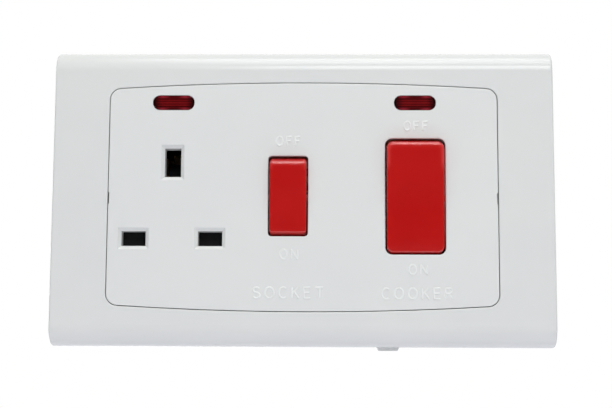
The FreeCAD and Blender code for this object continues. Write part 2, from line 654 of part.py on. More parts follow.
def make_rocker(name, poles):
    """A rocker moulding with its ends curved round the pivot, drawn level and then tilted to ON."""
    body = body_named(f"{name}_rocker")
    width = f"({name}_open_width - 2 * rocker_side_gap)"
    lip = f"({INNER_FACE} - pivot_depth)"
    swing = f"(sqrt(({name}_open_height / 2)^2 + {lip}^2) - rocker_end_gap)"
    back = f"({REACH} - rocker_skirt)"
    half = f"sqrt({swing}^2 - {REACH}^2)"
    root = f"sqrt({swing}^2 - {back}^2)"
    pad(body, outline(sketch_on(body, "YZ_Plane"), [
        (f"-{back}", f"-{root}"), (f"-{back}", root, swing),
        (f"-{REACH}", half), (f"-{REACH}", f"-{half}", swing),
    ]), width, middle=True)
    side, middle = value(f"{width} / 2"), value(half) / 2
    dress(body, "Fillet", f"{name}_open_corner - rocker_side_gap / 2",
          lambda e: near(abs(e.BoundBox.Center.x), side) and abs(e.BoundBox.Center.z) > middle)
    face = -value(REACH)
    dress(body, "Fillet", "rocker_edge", lambda e: lies_on(e, "Y", face))
    hollow = sketch_on(body, "XZ_Plane", back)
    rectangle(hollow, about("0", f"{width} / 2 - rocker_wall"), about("0", f"{half} - rocker_wall"))
    pocket(body, hollow, "rocker_skirt - rocker_face")
    posts = sketch_on(body, "XZ_Plane", "-post_reach")
    bores = sketch_on(body, "XZ_Plane", "-post_reach")
    for x in poles:
        circle(posts, "post_radius", x)
        circle(bores, "plunger_radius + plunger_play", x)
    pad(body, posts, f"post_reach + {REACH} - rocker_face / 2")
    pin = f"({name}_open_width + 2 * ear_gap + 2 * ear_thick)"
    pad(body, circle(sketch_on(body, "YZ_Plane"), "pivot_radius"), pin, middle=True)
    pocket(body, bores, f"post_reach + {REACH} - rocker_face")
    tilt_on(body, ROCKERS[name], "-pivot_depth", f"{name}_throw / 2")


def make_plunger(name, rocker, offset):
    """A round-nosed plunger and the coil spring behind it, both in the rocker's post."""
    tip = "(see_depth - see_thick - plunger_gap + pivot_depth)"
    body = body_named(f"{name}_plunger")
    tail = f"({tip} - plunger_length)"
    shaft = sketch_on(body, "XZ_Plane", f"-{tip} + plunger_length")
    pad(body, circle(shaft, "plunger_radius", offset), "plunger_length", back=True)
    end = value(tip)
    dress(body, "Fillet", "plunger_nose", lambda e: lies_on(e, "Y", end))
    turn = f"{rocker}_throw / 2"
    tilt_on(body, ROCKERS[rocker], "-pivot_depth", turn)
    doc.recompute()
    length = value(f"{tail} + {REACH} - rocker_face")
    coil = coil_spring(f"{name}_plunger_spring", value("coil_radius"), length, value("coil_turns"))
    laid = FreeCAD.Placement(
        FreeCAD.Vector(value(offset), value(f"rocker_face - {REACH}"), 0), ROD_TURN["y"])
    coil.Placement = body.Placement.multiply(laid)


def coil_spring(name, radius, length, turns):
    """A wound spring standing on its first turn, with its wire drawn as a prism of a few sides."""
    wire = value("coil_wire")
    rise = length - 2 * wire
    rings = []
    count = round(turns * COIL_STEPS)
    for step in range(count + 1):
        angle = 2 * math.pi * step / COIL_STEPS
        ring = []
        for side in range(COIL_SIDES):
            lean = 2 * math.pi * side / COIL_SIDES
            reach = radius + wire * math.cos(lean)
            height = wire + rise * step / count + wire * math.sin(lean)
            ring.append(FreeCAD.Vector(reach * math.cos(angle), reach * math.sin(angle), height))
        rings.append(ring)
    faces = [Part.Face(Part.makePolygon(end + end[:1])) for end in (rings[0], rings[-1])]
    for lower, upper in zip(rings, rings[1:]):
        for side in range(COIL_SIDES):
            a, b = lower[side], lower[(side + 1) % COIL_SIDES]
            c, d = upper[(side + 1) % COIL_SIDES], upper[side]
            faces.append(Part.Face(Part.makePolygon([a, b, c, a])))
            faces.append(Part.Face(Part.makePolygon([a, c, d, a])))
    solid = Part.makeSolid(Part.makeShell(faces))
    if solid.Volume < 0:
        solid.reverse()
    spring = piece(doc.addObject("Part::Feature", name), name)
    spring.Shape = solid
    return spring


def make_moving_contact(name, x):
    """A see-saw contact, bent to a shallow V on its pivot pin, and the silver tip behind its upper arm."""
    body = body_named(f"{name}_moving_contact")
    out, up = "see_arm * sin(see_angle)", "see_arm * cos(see_angle)"
    thick_out, thick_up = "see_thick * cos(see_angle)", "see_thick * sin(see_angle)"
    valley = "-see_thick / cos(see_angle)"
    pad(body, outline(sketch_on(body, "YZ_Plane"), [
        ("0", "0"), (f"-{out}", up), (f"-{out} - {thick_out}", f"{up} - {thick_up}"), (valley, "0"),
        (f"-{out} - {thick_out}", f"-{up} + {thick_up}"), (f"-{out}", f"-{up}"),
    ]), "see_width", middle=True)
    pin = "see_width + 2 * cradle_gap + 2 * cradle_thick"
    pad(body, circle(sketch_on(body, "YZ_Plane"), "see_pin"), pin, middle=True)
    tilt_on(body, x, "see_depth", "-see_angle")
    tip = body_named(f"{name}_moving_tip")
    rivet = circle(sketch_on(tip, "XZ_Plane"), "tip_radius", "0", "tip_place")
    pad(tip, rivet, "tip_height", back=True)
    tilt_on(tip, x, "see_depth", "0")


# Fixed brass work

def cradle_ears(x):
    """Two forked ears that carry a see-saw contact's pin."""
    solids = []
    for sign in (-1, 1):
        near_side = f"{x} + {sign} * (see_width / 2 + cradle_gap)"
        far_side = f"{x} + {sign} * (see_width / 2 + cradle_gap + cradle_thick)"
        span = (near_side, far_side) if sign > 0 else (far_side, near_side)
        ear = block(span, ("see_depth - cradle_lip", STRIP_TOP), about("0", "cradle_half"))
        fork = "see_pin + see_pin_play"
        seat = rod("x", fork, span, ("see_depth", "0"))
        mouth = block(span, ("see_depth - 2 * see_pin", "see_depth"), about("0", fork))
        solids.append(cut(ear, seat, mouth))
    return solids


def floor_strip(x, z):
    """A flat strip on the housing floor."""
    return block(x, (STRIP_TOP, FLOOR), z)


def cradle_span(x):
    """The width of strip under a pair of cradle ears."""
    return about(x, "see_width / 2 + cradle_gap + cradle_thick")


def leaf_pair(x, z, upright):
    """Two bowed leaves that grip a pin between them: above and below it, or at its sides if upright."""
    solids = []
    for sign in (-1, 1):
        sketch_body = doc.addObject("PartDesign::Body", "leaf")
        stations = (("leaf_mouth", "leaf_mouth_y"), ("leaf_grip", "leaf_grip_y"), ("leaf_root", STRIP_TOP))
        inner = [(f"{sign} * {gap} / 2", y) for gap, y in stations]
        outer = [(f"{sign} * ({gap} / 2 + leaf_thick)", y) for gap, y in reversed(stations)]
        points = inner + outer
        plane = "XY_Plane" if upright else "YZ_Plane"
        if not upright:
            points = [(y, gap) for gap, y in points]
        if (sign > 0) == upright:
            points = points[::-1]
        pad(sketch_body, outline(sketch_on(sketch_body, plane), points), "leaf_width", middle=True)
        bind(sketch_body, Placement__Base__x=x, Placement__Base__z=z)
        solids.append(sketch_body)
    return solids


def make_socket_contacts():
    leg = "leaf_width / 2"
    foot = "leaf_root / 2 + leaf_thick"
    line = join(
        floor_strip((f"{LINE_X} - {leg}", cradle_span("socket_rocker_x")[1]), about("0", "strip_width / 2")),
        floor_strip(about(LINE_X, leg), (f"{LINE_Z} - ({foot})", "strip_width / 2")),
        *cradle_ears("socket_rocker_x"), *leaf_pair(LINE_X, LINE_Z, False))
    piece(line, "line_contact")
    beside = "(screw_z - column_radius - run_clear)"
    run = (f"-{beside}", f"run_width - {beside}")
    neutral = join(
        floor_strip((f"{NEUTRAL_X} - {leg}", f"{POLE_X['neutral']} - block_width / 2"), run),
        floor_strip(about(NEUTRAL_X, leg), (run[0], f"{LINE_Z} + {foot} + solder_pad")),
        *leaf_pair(NEUTRAL_X, LINE_Z, False))
    piece(neutral, "neutral_contact")
    strap = ("earth_z + leaf_width / 2", "earth_z + leaf_width / 2 + strip_width")
    earth = join(
        floor_strip(about("socket_x", foot), ("earth_z - leaf_width / 2", strap[1])),
        floor_strip((f"socket_x - ({foot})", "earth_x + strip_width / 2"), strap),
        floor_strip(about("earth_x", "strip_width / 2"), (strap[0], "block_in")),
        *leaf_pair("socket_x", "earth_z", True))
    piece(earth, "earth_contact")


def make_line_link():
    """The strip from the cooker line cradle to the socket switch, folded up to carry a fixed tip."""
    across = about("socket_rocker_x", "see_width / 2")
    fold = (LINK_HIGH, f"{LINK_HIGH} + strip_thick")
    piece(join(
        floor_strip((across[0], cradle_span(POLE_X["line"])[1]), (LINK_LOW, fold[1])),
        block(across, (FIXED_Y, FLOOR), fold),
        block(across, (FIXED_Y, f"{FIXED_Y} + strip_thick"), (LINK_LOW, fold[1])),
    ), "line_link")


def make_cooker_pole(name):
    """One pole's cradle and fixed contact."""
    x = POLE_X[name]
    top = LINK_LOW if name == "line" else "cradle_half"
    piece(join(floor_strip(cradle_span(x), ("-block_in", top)), *cradle_ears(x)), f"cooker_{name}_cradle")
    piece(block(about(x, "see_width / 2"), (FIXED_Y, f"{FIXED_Y} + strip_thick"), (LINK_LOW, "block_in")),
          f"cooker_{name}_fixed_contact")


def make_fixed_tips():
    tips = [rod("y", "tip_radius", (f"{FIXED_Y} - tip_height", FIXED_Y), (x, "tip_place"))
            for x in ("socket_rocker_x", *POLE_X.values())]
    piece(join(*tips), "fixed_contact_tips")


def make_terminal(name, tunnels, sign):
    """A brass block with blind cable tunnels and a clamp screw thread into each. The sign is its end."""
    far, close, blind = "cavity_height / 2", "block_in", "(block_in + tunnel_end)"
    margin = "block_width / 2"

    def span(low, high):
        return (low, high) if sign > 0 else (f"-{high}", f"-{low}")

    brass = block((f"{tunnels[0]} - {margin}", f"{tunnels[-1]} + {margin}"), ("block_front", FLOOR),
                  span(close, far))
    tools = []
    for x in tunnels:
        tools.append(rod("z", "tunnel_radius", span(blind, far), (x, "tunnel_y")))
        tools.append(rod("y", "clamp_radius + clamp_play", ("tunnel_y", FLOOR), (x, clamp_z(sign))))
    piece(cut(brass, *tools), f"{name}_terminal")


def clamp_z(sign):
    """Height of the clamp screws at one end."""
    return f"{sign} * (cavity_height / 2 - tunnel_depth / 2)"


CLAMPS = ([(x, sign) for x in POLE_X.values() for sign in (-1, 1)] + [(x, 1) for x in EARTH_TUNNELS])


def make_screws():
    clamps = []
    tip = "tunnel_y + tunnel_radius + clamp_back_off"
    for x, sign in CLAMPS:
        z = clamp_z(sign)
        shank = rod("y", "clamp_radius", (tip, FLOOR), (x, z))
        head = rod("y", "clamp_head", (FLOOR, "house_depth"), (x, z))
        slot = block(about(x, "clamp_head"), ("house_depth - driver_depth", "house_depth"),
                     about(z, "driver_slot / 2"))
        clamps.append(cut(join(shank, head), slot))
    piece(join(*clamps), "terminal_screws")
    screws = []
    seat = "house_depth - screw_head_high"
    for x, z in SCREW_PLACES:
        shank = rod("y", "screw_radius", ("-screw_tip", seat), (x, z))
        head = rod("y", "screw_head", (seat, "house_depth"), (x, z))
        slots = [block(about(x, "driver_slot / 2"), ("house_depth - driver_depth", "house_depth"),
                       about(z, "driver_reach")),
                 block(about(x, "driver_reach"), ("house_depth - driver_depth", "house_depth"),
                       about(z, "driver_slot / 2"))]
        screws.append(cut(join(shank, head), *slots))
    piece(join(*screws), "housing_screws")


# Barrier frame and rear housing

def housing_slab(body, depth, margin="0"):
    """A sketch of the housing's rectangle at a depth, grown all round."""
    return rectangle(sketch_on(body, "XZ_Plane", f"-{depth}"), about("0", f"cavity_width / 2 + {margin}"),
                     about("0", f"cavity_height / 2 + {margin}"))


def raise_wall(body, front, rear):
    """A slab of the housing between two depths, with round corners."""
    pad(body, housing_slab(body, front, "house_wall"), f"{rear} - {front}", back=True)
    dress(body, "Fillet", "house_corner", along_y)


def add_columns(body, front, rear):
    """The columns for the housing screws between two depths, drilled through."""
    columns = sketch_on(body, "XZ_Plane", f"-{front}")
    shafts = sketch_on(body, "XZ_Plane")
    for x, z in SCREW_PLACES:
        circle(columns, "column_radius", x, z)
        circle(shafts, "screw_radius + screw_play", x, z)
    pad(body, columns, f"{rear} - {front}", back=True)
    pocket(body, shafts, "house_depth", back=True)


def add_ribs(body, front, rear):
    """The ribs beside and between the poles, between two depths."""
    ribs = sketch_on(body, "XZ_Plane", f"-{front}")
    for x in ("cooker_rocker_x", f"{POLE_X['neutral']} - block_width / 2 - rib_thick"):
        rectangle(ribs, about(x, "rib_thick / 2"), about("0", "cavity_height / 2 + house_wall / 2"))
    pad(body, ribs, f"{rear} - {front}", back=True)


def make_barrier_frame():
    """The middle moulding, from the front plate to the cable notches."""
    body = body_named("barrier_frame")
    raise_wall(body, "0", SPLIT)
    pocket(body, housing_slab(body, "0"), SPLIT, back=True)
    add_columns(body, "0", SPLIT)
    add_ribs(body, "rib_front", SPLIT)


def make_rear_housing():
    """The rear moulding, which carries the brass work on its floor."""
    body = body_named("rear_housing")
    raise_wall(body, SPLIT, "house_depth")
    rear = value("house_depth")
    dress(body, "Fillet", "house_edge", lambda e: lies_on(e, "Y", rear))
    pocket(body, housing_slab(body, SPLIT), f"{FLOOR} - {SPLIT}", back=True)
    add_columns(body, SPLIT, f"({FLOOR} + house_wall / 2)")
    add_ribs(body, SPLIT, f"({STRIP_TOP} - strip_thick / 2)")
    heads = sketch_on(body, "XZ_Plane", "-house_depth + screw_head_high")
    for x, z in SCREW_PLACES:
        circle(heads, "screw_head + head_play", x, z)
    pocket(body, heads, "screw_head_high", back=True)
    access = sketch_on(body, "XZ_Plane", f"-{FLOOR}")
    for x, sign in CLAMPS:
        circle(access, "clamp_head + head_play", x, clamp_z(sign))
    pocket(body, access, "house_wall", back=True)
    top = sketch_on(body, "XY_Plane", "cavity_height / 2")
    bottom = sketch_on(body, "XY_Plane", "-cavity_height / 2 - house_wall")
    for x, sign in CLAMPS:
        rectangle(top if sign > 0 else bottom, about(x, "cable_half"), (SPLIT, "house_depth"))
    for notches in (top, bottom):
        pocket(body, notches, "house_wall")
    add_barrier_fins(body)


def add_barrier_fins(body):
    """Fins outside the housing that keep the cores of different poles apart."""
    root, crest = "(cavity_height / 2 + house_wall / 2)", "(cavity_height / 2 + house_wall + fin_reach)"
    depth = (SPLIT, "house_depth - house_edge")
    beside_earth = f"({EARTH_TUNNELS[1]} + {POLE_X['neutral']}) / 2"
    for x, low, high in (("cooker_rocker_x", root, crest), (beside_earth, root, crest),
                         ("cooker_rocker_x", f"-{crest}", f"-{root}")):
        fin = rectangle(sketch_on(body, "YZ_Plane", x), depth, (low, high))
        pad(body, fin, "rib_thick", middle=True)


# Shutter

def make_shutter():
    """A T-shaped shutter: its bar covers the lower slots and its ramp waits behind the earth slot."""
    body = body_named("shutter")
    front = f"({SOCKET_BACK} - shutter_play)"
    left, right = about("socket_x", "bar_half")
    stem_left, stem_right = about("socket_x", "stem_half")
    pad(body, outline(sketch_on(body, "XZ_Plane", f"{front} - shutter_thick"), [
        (left, BAR_LOW), (right, BAR_LOW), (right, BAR_HIGH), (stem_right, BAR_HIGH),
        (stem_right, STEM_TOP), (stem_left, STEM_TOP), (stem_left, BAR_HIGH), (left, BAR_HIGH),
    ]), "shutter_thick")
    crest = f"{STEM_TOP} + shutter_travel"
    ramp_back = f"(ramp_run - {front})"
    pad(body, outline(sketch_on(body, "YZ_Plane", "socket_x"), [
        (f"-{front}", f"{STEM_TOP} - ramp_web"), (f"-{front} + shutter_thick", f"{STEM_TOP} - ramp_web"),
        (ramp_back, f"{crest} - ramp_web"), (ramp_back, crest), (f"-{front}", STEM_TOP),
    ]), "ramp_width", middle=True)
    low = value("-cavity_height / 2 + seat_rise")
    spring = coil_spring("shutter_spring", value("return_radius"), value(BAR_LOW) - low, value("return_turns"))
    middle = value(f"shutter_thick / 2 - {front}")
    spring.Placement = FreeCAD.Placement(FreeCAD.Vector(value("socket_x"), middle, low), FreeCAD.Rotation())


# Neon indicators

def make_lens(name, x):
    """A window with a flange behind the face and ribs across its back."""
    body = body_named(f"{name}_neon_lens")
    half, tall = "(lens_width / 2 - lens_play)", "(lens_height / 2 - lens_play)"
    lip = f"({LENS_FACE} - lens_lip_thick)"
    flange = sketch_on(body, "XZ_Plane", lip)
    rounded(flange, about(x, f"{half} + lens_lip"), about("lens_z", f"{tall} + lens_lip"), "lens_round")
    pad(body, flange, "lens_lip_thick")
    window = sketch_on(body, "XZ_Plane", lip)
    rounded(window, about(x, half), about("lens_z", tall), "lens_round - lens_play")
    pad(body, window, f"frame_depth - lens_sink - {lip}")
    grooves = sketch_on(body, "XZ_Plane", lip)
    for step in LENS_GROOVES:
        rectangle(grooves, about(x, f"{half} - lens_round"),
                  about(f"lens_z + {step} * lens_rib_pitch", "lens_rib_width / 2"))
    pocket(body, grooves, "lens_rib_depth")


def wire(points):
    """A bent lead along axis-parallel runs."""
    solids = []
    for start, end in zip(points, points[1:]):
        axis = [n for n in range(3) if start[n] != end[n]][0]
        low, high = sorted((start[axis], end[axis]), key=value)
        centre = [start[n] for n in range(3) if n != axis]
        solids.append(rod("xyz"[axis], "lead_radius", (low, high), centre))
    solids.extend(ball("lead_radius", point) for point in points[1:-1])
    return solids


def make_lamp(name, x, left_route, right_route):
    """A neon lamp with its two leads. The right lead runs through the resistor."""
    y = "-lamp_depth"
    ends = about(x, "lamp_length / 2")
    piece(rod("x", "lamp_radius", ends, (y, LAMP_Z)), f"{name}_neon_lamp")
    left = wire([(ends[0], y, LAMP_Z), *left_route])
    right_x = right_route[0][0]
    span = ("resistor_y", "resistor_y + resistor_length")
    piece(rod("y", "resistor_radius", span, (right_x, LAMP_Z)), f"{name}_resistor")
    before = wire([(ends[1], y, LAMP_Z), (right_x, y, LAMP_Z), (right_x, span[0], LAMP_Z)])
    after = wire([(right_x, span[1], LAMP_Z), *right_route])
    piece(join(*left, *before, *after), f"{name}_lamp_leads")


def make_lamps():
    near_block = "block_front"
    neutral, line = POLE_X["neutral"], POLE_X["line"]
    make_lamp("cooker", "cooker_rocker_x",
              [(neutral, "-lamp_depth", LAMP_Z), (neutral, near_block, LAMP_Z)],
              [(line, near_block, LAMP_Z)])
    left = "(socket_x - lamp_length / 2 - lead_out)"
    right = "(socket_x + lamp_length / 2 + lead_out)"
    strip = f"({STRIP_TOP} - lead_radius)"
    foot = f"({LINE_Z} + leaf_root / 2 + leaf_thick + solder_pad / 2)"
    make_lamp("socket", "socket_x",
              [(left, "-lamp_depth", LAMP_Z), (left, strip, LAMP_Z), (left, strip, foot)],
              [(right, "lead_run", LAMP_Z), (right, "lead_run", "0"), (right, STRIP_TOP, "0")])


make_surround_frame()
make_front_plate()
make_barrier_frame()
make_rear_housing()
make_rocker("socket", ["0"])
make_rocker("cooker", ["-pole_offset", "pole_offset"])
make_plunger("socket", "socket", "0")
make_plunger("cooker_neutral", "cooker", "-pole_offset")
make_plunger("cooker_line", "cooker", "pole_offset")
make_moving_contact("socket", "socket_rocker_x")
for pole, pole_x in POLE_X.items():
    make_moving_contact(f"cooker_{pole}", pole_x)
    make_cooker_pole(pole)
    make_terminal(f"supply_{pole}", [pole_x], -1)
    make_terminal(f"load_{pole}", [pole_x], 1)
make_terminal("earth", EARTH_TUNNELS, 1)
make_socket_contacts()
make_line_link()
make_fixed_tips()
make_screws()
make_shutter()
make_lens("socket", "socket_x")
make_lens("cooker", "cooker_rocker_x")
make_lamps()

doc.recompute()
for thing in doc.Objects:
    if "Invalid" in thing.State or "Error" in thing.State:
        raise RuntimeError(f"{thing.Label} failed: {thing.State}")
for thing in pieces:
    if thing.Shape.isNull() or not thing.Shape.isValid():
        raise RuntimeError(f"{thing.Label} has no valid shape")

os.makedirs("parts", exist_ok=True)
for thing in pieces:
    thing.Shape.exportStep(f"parts/{thing.Label}.step")
    print(thing.Label, len(thing.Shape.Solids), round(thing.Shape.Volume, 1))
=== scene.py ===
# %% [markdown]
# # A cooker control unit, dressed for its picture
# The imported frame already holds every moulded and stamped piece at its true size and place. This lesson adds what a
# bare solid can't show: the finishes, the raised legends beside the switches, round-wire springs, the electrodes in
# the neon lamps, the light and the camera. Everything is in metres in the frame of the parts, so nothing is fitted by
# eye: X runs to the right, Y into the wall and Z up.

# %% Load the parts
import json
import math

import bpy
from mathutils import Matrix, Vector


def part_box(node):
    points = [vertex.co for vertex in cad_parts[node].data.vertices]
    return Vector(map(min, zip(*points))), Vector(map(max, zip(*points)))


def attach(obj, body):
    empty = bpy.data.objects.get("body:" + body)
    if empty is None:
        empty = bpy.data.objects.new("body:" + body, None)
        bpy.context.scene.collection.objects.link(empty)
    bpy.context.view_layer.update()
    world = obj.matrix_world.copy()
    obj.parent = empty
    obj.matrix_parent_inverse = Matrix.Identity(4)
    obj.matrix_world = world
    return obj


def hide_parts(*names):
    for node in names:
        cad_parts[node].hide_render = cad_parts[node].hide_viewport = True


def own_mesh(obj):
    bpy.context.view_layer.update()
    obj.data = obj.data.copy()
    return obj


MM = 0.001
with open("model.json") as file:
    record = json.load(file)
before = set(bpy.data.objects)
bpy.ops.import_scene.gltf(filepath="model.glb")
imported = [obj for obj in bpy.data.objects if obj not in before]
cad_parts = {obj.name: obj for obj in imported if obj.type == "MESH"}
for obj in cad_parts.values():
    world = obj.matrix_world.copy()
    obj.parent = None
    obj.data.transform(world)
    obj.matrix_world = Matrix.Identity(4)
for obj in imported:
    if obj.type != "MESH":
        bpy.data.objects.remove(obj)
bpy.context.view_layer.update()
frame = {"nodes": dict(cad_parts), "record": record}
parts = frame["nodes"]
slot_of = {entry["node"]: entry["material_slot"] for entry in frame["record"]["subparts"]}

# %% [markdown]
# ## Small helpers for shader trees
# A finish is a tree of nodes. Clicking it together is fine for one, but a dozen finishes share the same few moves, so
# helpers do them. `feed` links or sets a socket, `put` adds a node with its sockets fed by name, `reckon` adds a sum
# and `spread` stretches part of a value over a new range. `tint` mixes two colours by a mask, and `glaze` does the
# same by a share of one.

# %% Helpers for shader trees
def feed(tree, source, socket):
    """Links an output to a socket, or writes a plain value on it."""
    if isinstance(source, bpy.types.NodeSocket):
        tree.links.new(source, socket)
    else:
        socket.default_value = source


def put(tree, kind, fields=None, **inputs):
    """Adds a shader node. An underscore in an input's name stands for a space."""
    node = tree.nodes.new("ShaderNode" + kind)
    for name, setting in (fields or {}).items():
        setattr(node, name, setting)
    for name, source in inputs.items():
        feed(tree, source, node.inputs[name.replace("_", " ")])
    return node


def reckon(tree, operation, *terms):
    """One step of arithmetic."""
    node = put(tree, "Math", {"operation": operation})
    for term, socket in zip(terms, node.inputs):
        feed(tree, term, socket)
    return node.outputs[0]


def spread(tree, source, low, high, to_low=0.0, to_high=1.0, ease="LINEAR"):
    """Stretches the part of a value between two limits over a new range."""
    node = put(tree, "MapRange", {"interpolation_type": ease}, Value=source, From_Min=low, From_Max=high,
               To_Min=to_low, To_Max=to_high)
    return node.outputs[0]


def tint(tree, mask, first, second):
    """The first colour where the mask is 0, and the second where it is 1."""
    node = put(tree, "Mix", {"data_type": "RGBA"})
    for source, socket in zip((mask, first, second), (node.inputs[0], node.inputs[6], node.inputs[7])):
        feed(tree, (*source, 1.0) if isinstance(source, tuple) else source, socket)
    return node.outputs[2]


def glaze(tree, mask, share, under, over):
    """Lays a share of a colour over another where a mask says so."""
    return tint(tree, reckon(tree, "MULTIPLY", mask, share), under, over)


print("tree helpers ready")

# %% [markdown]
# ## Helpers for node groups
# An effect that several finishes share is built once, as a node group, and placed in each of them with its own
# values. Copies of the nodes in every finish would work too, but then a change has to be made many times. The sockets
# of a group belong to its interface, so `start_group` makes them there and hands back the two ends to wire up.
# `place_group` puts the group in a finish.

# %% Helpers for node groups
def start_group(name, takes, gives):
    """An empty node group with named sockets."""
    tree = bpy.data.node_groups.new(name, "ShaderNodeTree")
    for label, usual in takes.items():
        socket = tree.interface.new_socket(label, in_out="INPUT", socket_type="NodeSocketFloat")
        socket.default_value = usual
    for label in gives:
        tree.interface.new_socket(label, in_out="OUTPUT", socket_type="NodeSocketFloat")
    return tree, tree.nodes.new("NodeGroupInput").outputs, tree.nodes.new("NodeGroupOutput").inputs


def place_group(tree, group, **values):
    """Puts a group in a finish with its own values."""
    node = put(tree, "Group", {"node_tree": group})
    for name, source in values.items():
        feed(tree, source, node.inputs[name.replace("_", " ")])
    return node.outputs


print("group helpers ready")

# %% [markdown]
# ## Moulded skin
# No moulding is perfectly even. The steel of the mould leaves a fine grain, the melt leaves long faint flow bands, and
# the wall cools with a slow unevenness of a few centimetres. Each of these could be painted on an image, but noise in
# the piece's own coordinates needs no unwrapping and stays sharp at any size. All the plastics use it, so it is a
# group.

# %% The moulded_skin group
FLOW_SCALES = 12.0, 90.0, 90.0


def make_moulded_skin():
    """Grain, flow bands and mottle, each from 0 to 1. The scales are per metre."""
    tree, takes, gives = start_group(
        "moulded_skin", {"Grain Scale": 2500.0, "Mottle Scale": 40.0}, ("Grain", "Flow", "Mottle"))
    place = put(tree, "TexCoord").outputs["Object"]
    grain = put(tree, "TexNoise", Vector=place, Scale=takes["Grain Scale"], Detail=3.0, Roughness=0.6)
    along = put(tree, "Mapping", Vector=place, Scale=FLOW_SCALES)
    flow = put(tree, "TexNoise", Vector=along.outputs[0], Scale=1.0, Detail=2.0, Distortion=0.4)
    mottle = put(tree, "TexNoise", Vector=place, Scale=takes["Mottle Scale"], Detail=2.0)
    feed(tree, grain.outputs[0], gives["Grain"])
    feed(tree, spread(tree, flow.outputs[0], 0.3, 0.7, ease="SMOOTHSTEP"), gives["Flow"])
    feed(tree, spread(tree, mottle.outputs[0], 0.35, 0.65, ease="SMOOTHSTEP"), gives["Mottle"])
    return tree


MOULDED_SKIN = make_moulded_skin()
print("group", MOULDED_SKIN.name, len(MOULDED_SKIN.nodes), "nodes")

# %% [markdown]
# ## Dust specks
# A unit out of its box carries a few specks of dust. Modelled specks would be thousands of tiny pieces, so a pattern
# of cells gives each speck a random place instead. A speck shows only where the cell's point lies close to the
# surface, and a second test keeps just a share of the cells.

# %% The dust_specks group
def make_dust_specks():
    """A mask of small round specks. The size is a share of a cell."""
    tree, takes, gives = start_group(
        "dust_specks", {"Cell Scale": 300.0, "Speck Size": 0.03, "Share": 0.3}, ("Speck",))
    place = put(tree, "TexCoord").outputs["Object"]
    cells = put(tree, "TexVoronoi", Vector=place, Scale=takes["Cell Scale"])
    close = spread(tree, cells.outputs["Distance"], takes["Speck Size"], 0.0)
    lot = put(tree, "SeparateColor", Color=cells.outputs["Color"]).outputs[0]
    chosen = reckon(tree, "LESS_THAN", lot, takes["Share"])
    feed(tree, reckon(tree, "MULTIPLY", close, chosen), gives["Speck"])
    return tree


DUST_SPECKS = make_dust_specks()
print("group", DUST_SPECKS.name, len(DUST_SPECKS.nodes), "nodes")

# %% [markdown]
# ## Edges for wear and a painted highlight
# Fingers polish the edges of a rocker and tools brighten the edges of a stamping; on the rockers the same mask also
# lays a painted highlight. The Bevel node gives the normal that a rounded edge would have. Where that differs from the
# true normal there is an edge, which makes a mask without unwrapping or painting.

# %% The edge_wear_and_highlight group
EDGE_MATCH = 0.995, 0.8


def make_edge_wear_and_highlight():
    """A mask that is 1 on edges. The two limits are cosines between the two normals."""
    tree, takes, gives = start_group("edge_wear_and_highlight", {"Edge Width": 0.3 * MM}, ("Edge",))
    soft = put(tree, "Bevel", {"samples": 6}, Radius=takes["Edge Width"])
    true = put(tree, "NewGeometry")
    match = put(tree, "VectorMath", {"operation": "DOT_PRODUCT"})
    feed(tree, soft.outputs[0], match.inputs[0])
    feed(tree, true.outputs["Normal"], match.inputs[1])
    feed(tree, spread(tree, match.outputs["Value"], *EDGE_MATCH), gives["Edge"])
    return tree


EDGE_WEAR_AND_HIGHLIGHT = make_edge_wear_and_highlight()
print("group", EDGE_WEAR_AND_HIGHLIGHT.name, len(EDGE_WEAR_AND_HIGHLIGHT.nodes), "nodes")

# %% [markdown]
# ## Worked metal
# Rolled strip, drawn wire and turned screws all show fine lines from the tool, and bare metal gathers stains from air
# and hands. Stretched noise makes the lines and plain noise makes the stains, so one group serves five metals.

# %% The worked_metal group
def make_worked_metal():
    """Tool lines along X and stains. The scales are per metre."""
    tree, takes, gives = start_group(
        "worked_metal", {"Line Scale": 6000.0, "Line Stretch": 0.04, "Stain Scale": 250.0}, ("Lines", "Stain"))
    place = put(tree, "TexCoord").outputs["Object"]
    pull = put(tree, "CombineXYZ", X=takes["Line Stretch"], Y=1.0, Z=1.0)
    along = put(tree, "Mapping", Vector=place, Scale=pull.outputs[0])
    lines = put(tree, "TexNoise", Vector=along.outputs[0], Scale=takes["Line Scale"], Detail=2.0)
    stain = put(tree, "TexNoise", Vector=place, Scale=takes["Stain Scale"], Detail=5.0, Roughness=0.65)
    feed(tree, lines.outputs[0], gives["Lines"])
    feed(tree, spread(tree, stain.outputs[0], 0.5, 0.75), gives["Stain"])
    return tree


WORKED_METAL = make_worked_metal()
print("group", WORKED_METAL.name, len(WORKED_METAL.nodes), "nodes")

# %% [markdown]
# ## Starting and wearing a finish
# Every finish starts from one Principled shader. What is the same all over the surface, such as the index of
# refraction, is written on the shader's own socket. `relief` turns a height into a normal over an edge that a second
# Bevel node softens, because edges are sharp in the solids. `wear` puts a finish on every part that the record lists
# under its slot.

# %% Helpers for finishes
FINISHES = {}
EDGE_ROUND = 0.12 * MM


def start_finish(name, **constants):
    """A new finish, with the plain numbers of its shader."""
    finish = bpy.data.materials.new(name)
    finish.use_nodes = True
    shader = finish.node_tree.nodes["Principled BSDF"]
    for label, number in constants.items():
        shader.inputs[label.replace("_", " ")].default_value = number
    FINISHES[name] = finish
    return finish.node_tree, shader.inputs


def relief(tree, height, depth, edge=EDGE_ROUND):
    """A normal from a height, laid over edges softened to a small radius."""
    soft = put(tree, "Bevel", {"samples": 4}, Radius=edge)
    return put(tree, "Bump", Height=height, Strength=1.0, Distance=depth, Normal=soft.outputs[0]).outputs[0]


def wear(slot):
    """Gives a slot's finish to its parts."""
    finished = [name for name in parts if slot_of[name] == slot]
    for name in finished:
        for holder in parts[name].material_slots:
            holder.material = FINISHES[slot]
    print("finish", slot, "on", len(finished), "parts")


print("finish helpers ready")
